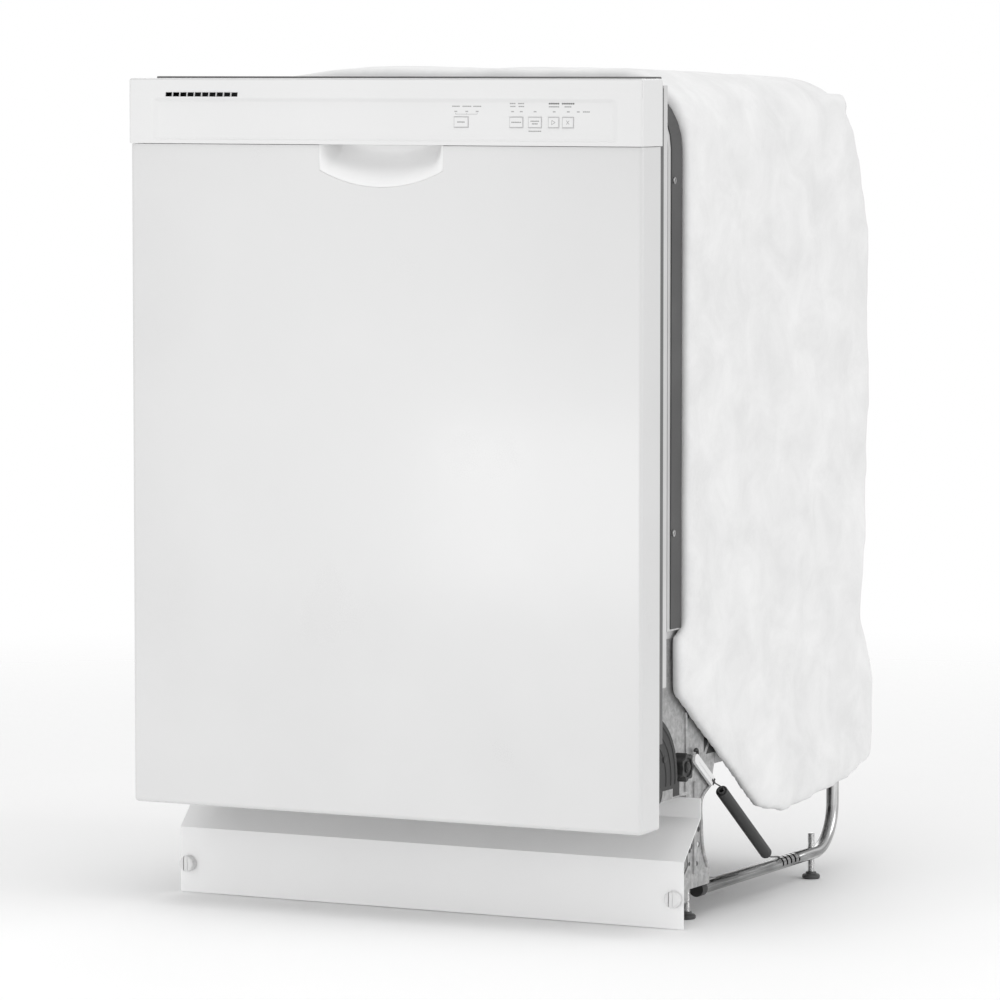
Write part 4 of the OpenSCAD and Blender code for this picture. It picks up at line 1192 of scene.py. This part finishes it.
def rack_wheels():
    """Spoked rollers on the lower rack, with the brackets and axles that carry them."""
    bracket = Shape()
    for name in ("front_wheels", "rear_wheels"):
        low, high = box(name)
        y, z = middle_of(name)[1:]
        radius = (high[2] - low[2]) / 2
        inner = high[0] - 9
        shape = Shape()
        tread = [(-2.6, 2.6), (-2.2, 0.6), (-0.6, 0.2), (0, 1), (0, 8), (-0.6, 8.8), (-2.2, 8.4), (-2.6, 6.4)]
        shape.lathe([(4.2, 0.5), (6.5, 0.5), (6.8, 2.6), *((radius + r, h) for r, h in tread), (6.8, 6.4),
                     (6.5, 8.9), (4.2, 8.9), (4.2, 0.5)], (inner, y, z), "x", 40)
        for c, s in around(6):
            shape.tube([(inner + 6.4, y + r * c, z + r * s) for r in (6, radius - 2)], 1.1, 8)
        make(f"{name}_rollers", shape.mirrored(), name, "grey_plastic", [name], angle=40)
        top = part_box("lower_rack_floor")[1].z / SCALE
        bracket.block((240.5, y - 7, z - 8), (245.5, y + 7, top + 26))
        bracket.lathe([(0, -4), (4, -4), (4, 11.2), (3.2, 12), (0, 12)], (246, y, z), "x", 24)
    make("wheel_brackets", bracket.mirrored(), "lower_rack", "grey_plastic", edge=0.8, weld=False)


def spray_arm(node, name):
    """A hollow wing with rounded tips, raised nozzles and a hub."""
    low, high = box(node)
    reach, _, half = (high - low) / 2
    middle = middle_of(node)[2]
    shape = Shape()

    def bent(s):
        """Sideways bend of the wing along its length."""
        return 5 * math.sin(s * 2.4)

    rows = []
    for s in np.linspace(-1, 1, 61):
        width = (8.5 + 15.5 * (1 - abs(s)) ** 0.8) * math.sqrt(max(1e-6, 1 - abs(s) ** 24))
        tall = half * math.sqrt(max(1e-6, 1 - abs(s) ** 30)) * (0.8 + 0.2 * (1 - abs(s)))
        rows.append([(s * reach, width * math.copysign(abs(c) ** 0.8, c) + bent(s),
                      middle + tall * math.copysign(abs(t) ** 0.55, t)) for c, t in around(28)])
    shape.rows(rows, ring=True)
    post = 12.2 if node == "lower_spray_arm" else 8.2
    hub = [(post, -half), (27, -half), (28, -half + 1), (28, half - 1.6), (26, half - 0.2), (post, half)]
    shape.lathe(hub, (0, 0, middle), "z", 48)
    for s in (-0.9, -0.72, -0.55, -0.38, -0.22, 0.22, 0.38, 0.55, 0.72, 0.9):
        shape.lathe([(1.3, 0.2), (1.5, 1.1), (3.2, 1.0), (3.8, 0.2), (3.8, -1.5)],
                    (s * reach, bent(s), middle + half - 0.4), "z", 18)
    make(name, shape, node, "grey_plastic", [node], angle=45)


def heating_element():
    """Round element with clips down to the tub's floor."""
    low, high = box("heating_element")
    radius = (high[0] - low[0]) / 2 - 4
    z = high[2] - 4
    shape = Shape()
    shape.tube([(radius * c, radius * s, z) for c, s in around(96)], 4, 16, closed=True)
    for x, y in ((-14, -150), (14, -150), (-120, 90), (120, 90)):
        shape.lathe([(0, 0), (3.5, 0), (3.5, z - low[2]), (0, z - low[2])], (x, y, low[2]), "z", 20)
    make("heater_ring", shape, "cabinet", "heater_steel", ["heating_element"])


def silverware_basket():
    """Open lattice basket with five cells and a carrying handle."""
    low, high = box("silverware_basket")
    rim = high[2] - 40
    (a0, b0, base), (a1, b1) = low + 1, high[:2] - 1
    wide, long, tall = a1 - a0, b1 - b0, rim - base - 1
    shape = Shape()

    def lattice(origin, u, v, columns, rows):
        origin, u, v = (np.array(a, float) for a in (origin, u, v))
        shape.rows([[origin + u * c / columns + v * r / rows for c in range(columns + 1)]
                    for r in range(rows + 1)])

    for x in (a0, a1):
        lattice((x, b0, base), (0, long, 0), (0, 0, tall), 40, 14)
    for y in (b0, b1):
        lattice((a0, y, base), (wide, 0, 0), (0, 0, tall), 8, 14)
    lattice((a0, b0, base), (0, long, 0), (wide, 0, 0), 40, 8)
    for i in range(1, 5):
        lattice((a0, b0 + long * i / 5, base), (wide, 0, 0), (0, 0, tall - 8), 8, 13)
    piece = make("basket_lattice", shape, "silverware_basket", "grey_plastic", ["silverware_basket"])
    piece.modifiers.clear()
    wires = piece.modifiers.new("lattice", "WIREFRAME")
    wires.thickness = 1.9 * SCALE
    wires.use_even_offset = False
    trim = Shape()
    for z in (rim - 1.6, base + 0.4):
        trim.tube([(a0, b0, z), (a1, b0, z), (a1, b1, z), (a0, b1, z)], 1.9, 8, closed=True)
    x, y = middle_of("silverware_basket")[:2]
    half = [(-31, -24), (-31, 20), (-28, 32), (-18, 37.5)]
    handle = [*half, (0, 38), *((-across, up) for across, up in reversed(half))]
    trim.tube(smoothed([(x, y + across, rim + up) for across, up in handle]), 2.6, 12)
    make("basket_trim", trim, "silverware_basket", "grey_plastic", weld=False)


def machinery():
    """Motor and pump under the tub, with fins, flanges and fittings."""
    low, high = box("wash_motor")
    z = high[2] - 45
    shape = Shape()
    profile = [(0, 0), (31, 0), (32, 1), (32, 12.5), (44, 14), (45, 16)]
    for i in range(10):
        x = 20 + i * 9.5
        profile += [(45, x), (45, x + 4.5), (43, x + 5.2), (43, x + 8.8)]
    profile += [(45, 117), (44, 119.5), (30, 120.5), (20, 121), (20, 128), (18, 129.5), (0, 129.5)]
    shape.lathe(profile, (high[0] - 129.5, 0, z), "x", 56)
    shape.block((120, -29, low[2]), (190, 29, z - 20))
    make("motor_case", shape, "cabinet", "dark_grey_steel", ["wash_motor"], weld=False)
    low = box("drain_pump")[0]
    pump_z = 102
    shape = Shape()
    shape.lathe([(0, 0), (16, 0), (17, 1), (17, 18), (26, 20), (28, 22), (28, 58), (26, 62), (0, 63.5)],
                (low[0], 0, pump_z), "x", 48)
    shape.lathe([(0, 0), (14, 0), (14, 30.5), (13, 32), (11, 32), (11, 61), (10, 62), (8.6, 62), (8.6, 40),
                 (0, 40)], (-124, 0, pump_z), "y", 40)
    for c, s in around(6):
        shape.lathe([(0, -1.5), (2.4, -1.5), (2.4, 1.2), (0, 1.2)], (low[0] + 22, 24 * c, pump_z + 24 * s),
                    "x", 12)
    make("pump_body", shape, "cabinet", "black_plastic", ["drain_pump"], weld=False)


# ---------------------------------------------------------------- making everything

camera()
studio()
door_panel()
handle_pocket()
console()
pad_marks()
console_marks()
inner_door()
dispenser()
hinge_quadrants()
brackets()
pulley_wheels()
balance_links()
balance_springs()
base_tube()
levelling_feet()
toe_fasteners()
band_screws()
blanket()
rack("upper_rack_wires", "upper_rack_floor", "upper_rack_walls", "upper_rack", (-190, -130, 130, 190), 48)
rack("lower_rack_wires", "lower_rack_floor", "lower_rack_walls", "lower_rack",
     (-205, -165, -110, -70, -10, 30, 90, 130), 72)
rack_wheels()
spray_arm("lower_spray_arm", "lower_arm_wing")
spray_arm("upper_spray_arm", "upper_arm_wing")
heating_element()
silverware_basket()
machinery()

for node in SLOTS:
    if not frame["nodes"][node].hide_render:
        dressed(node)

bpy.context.view_layer.update()
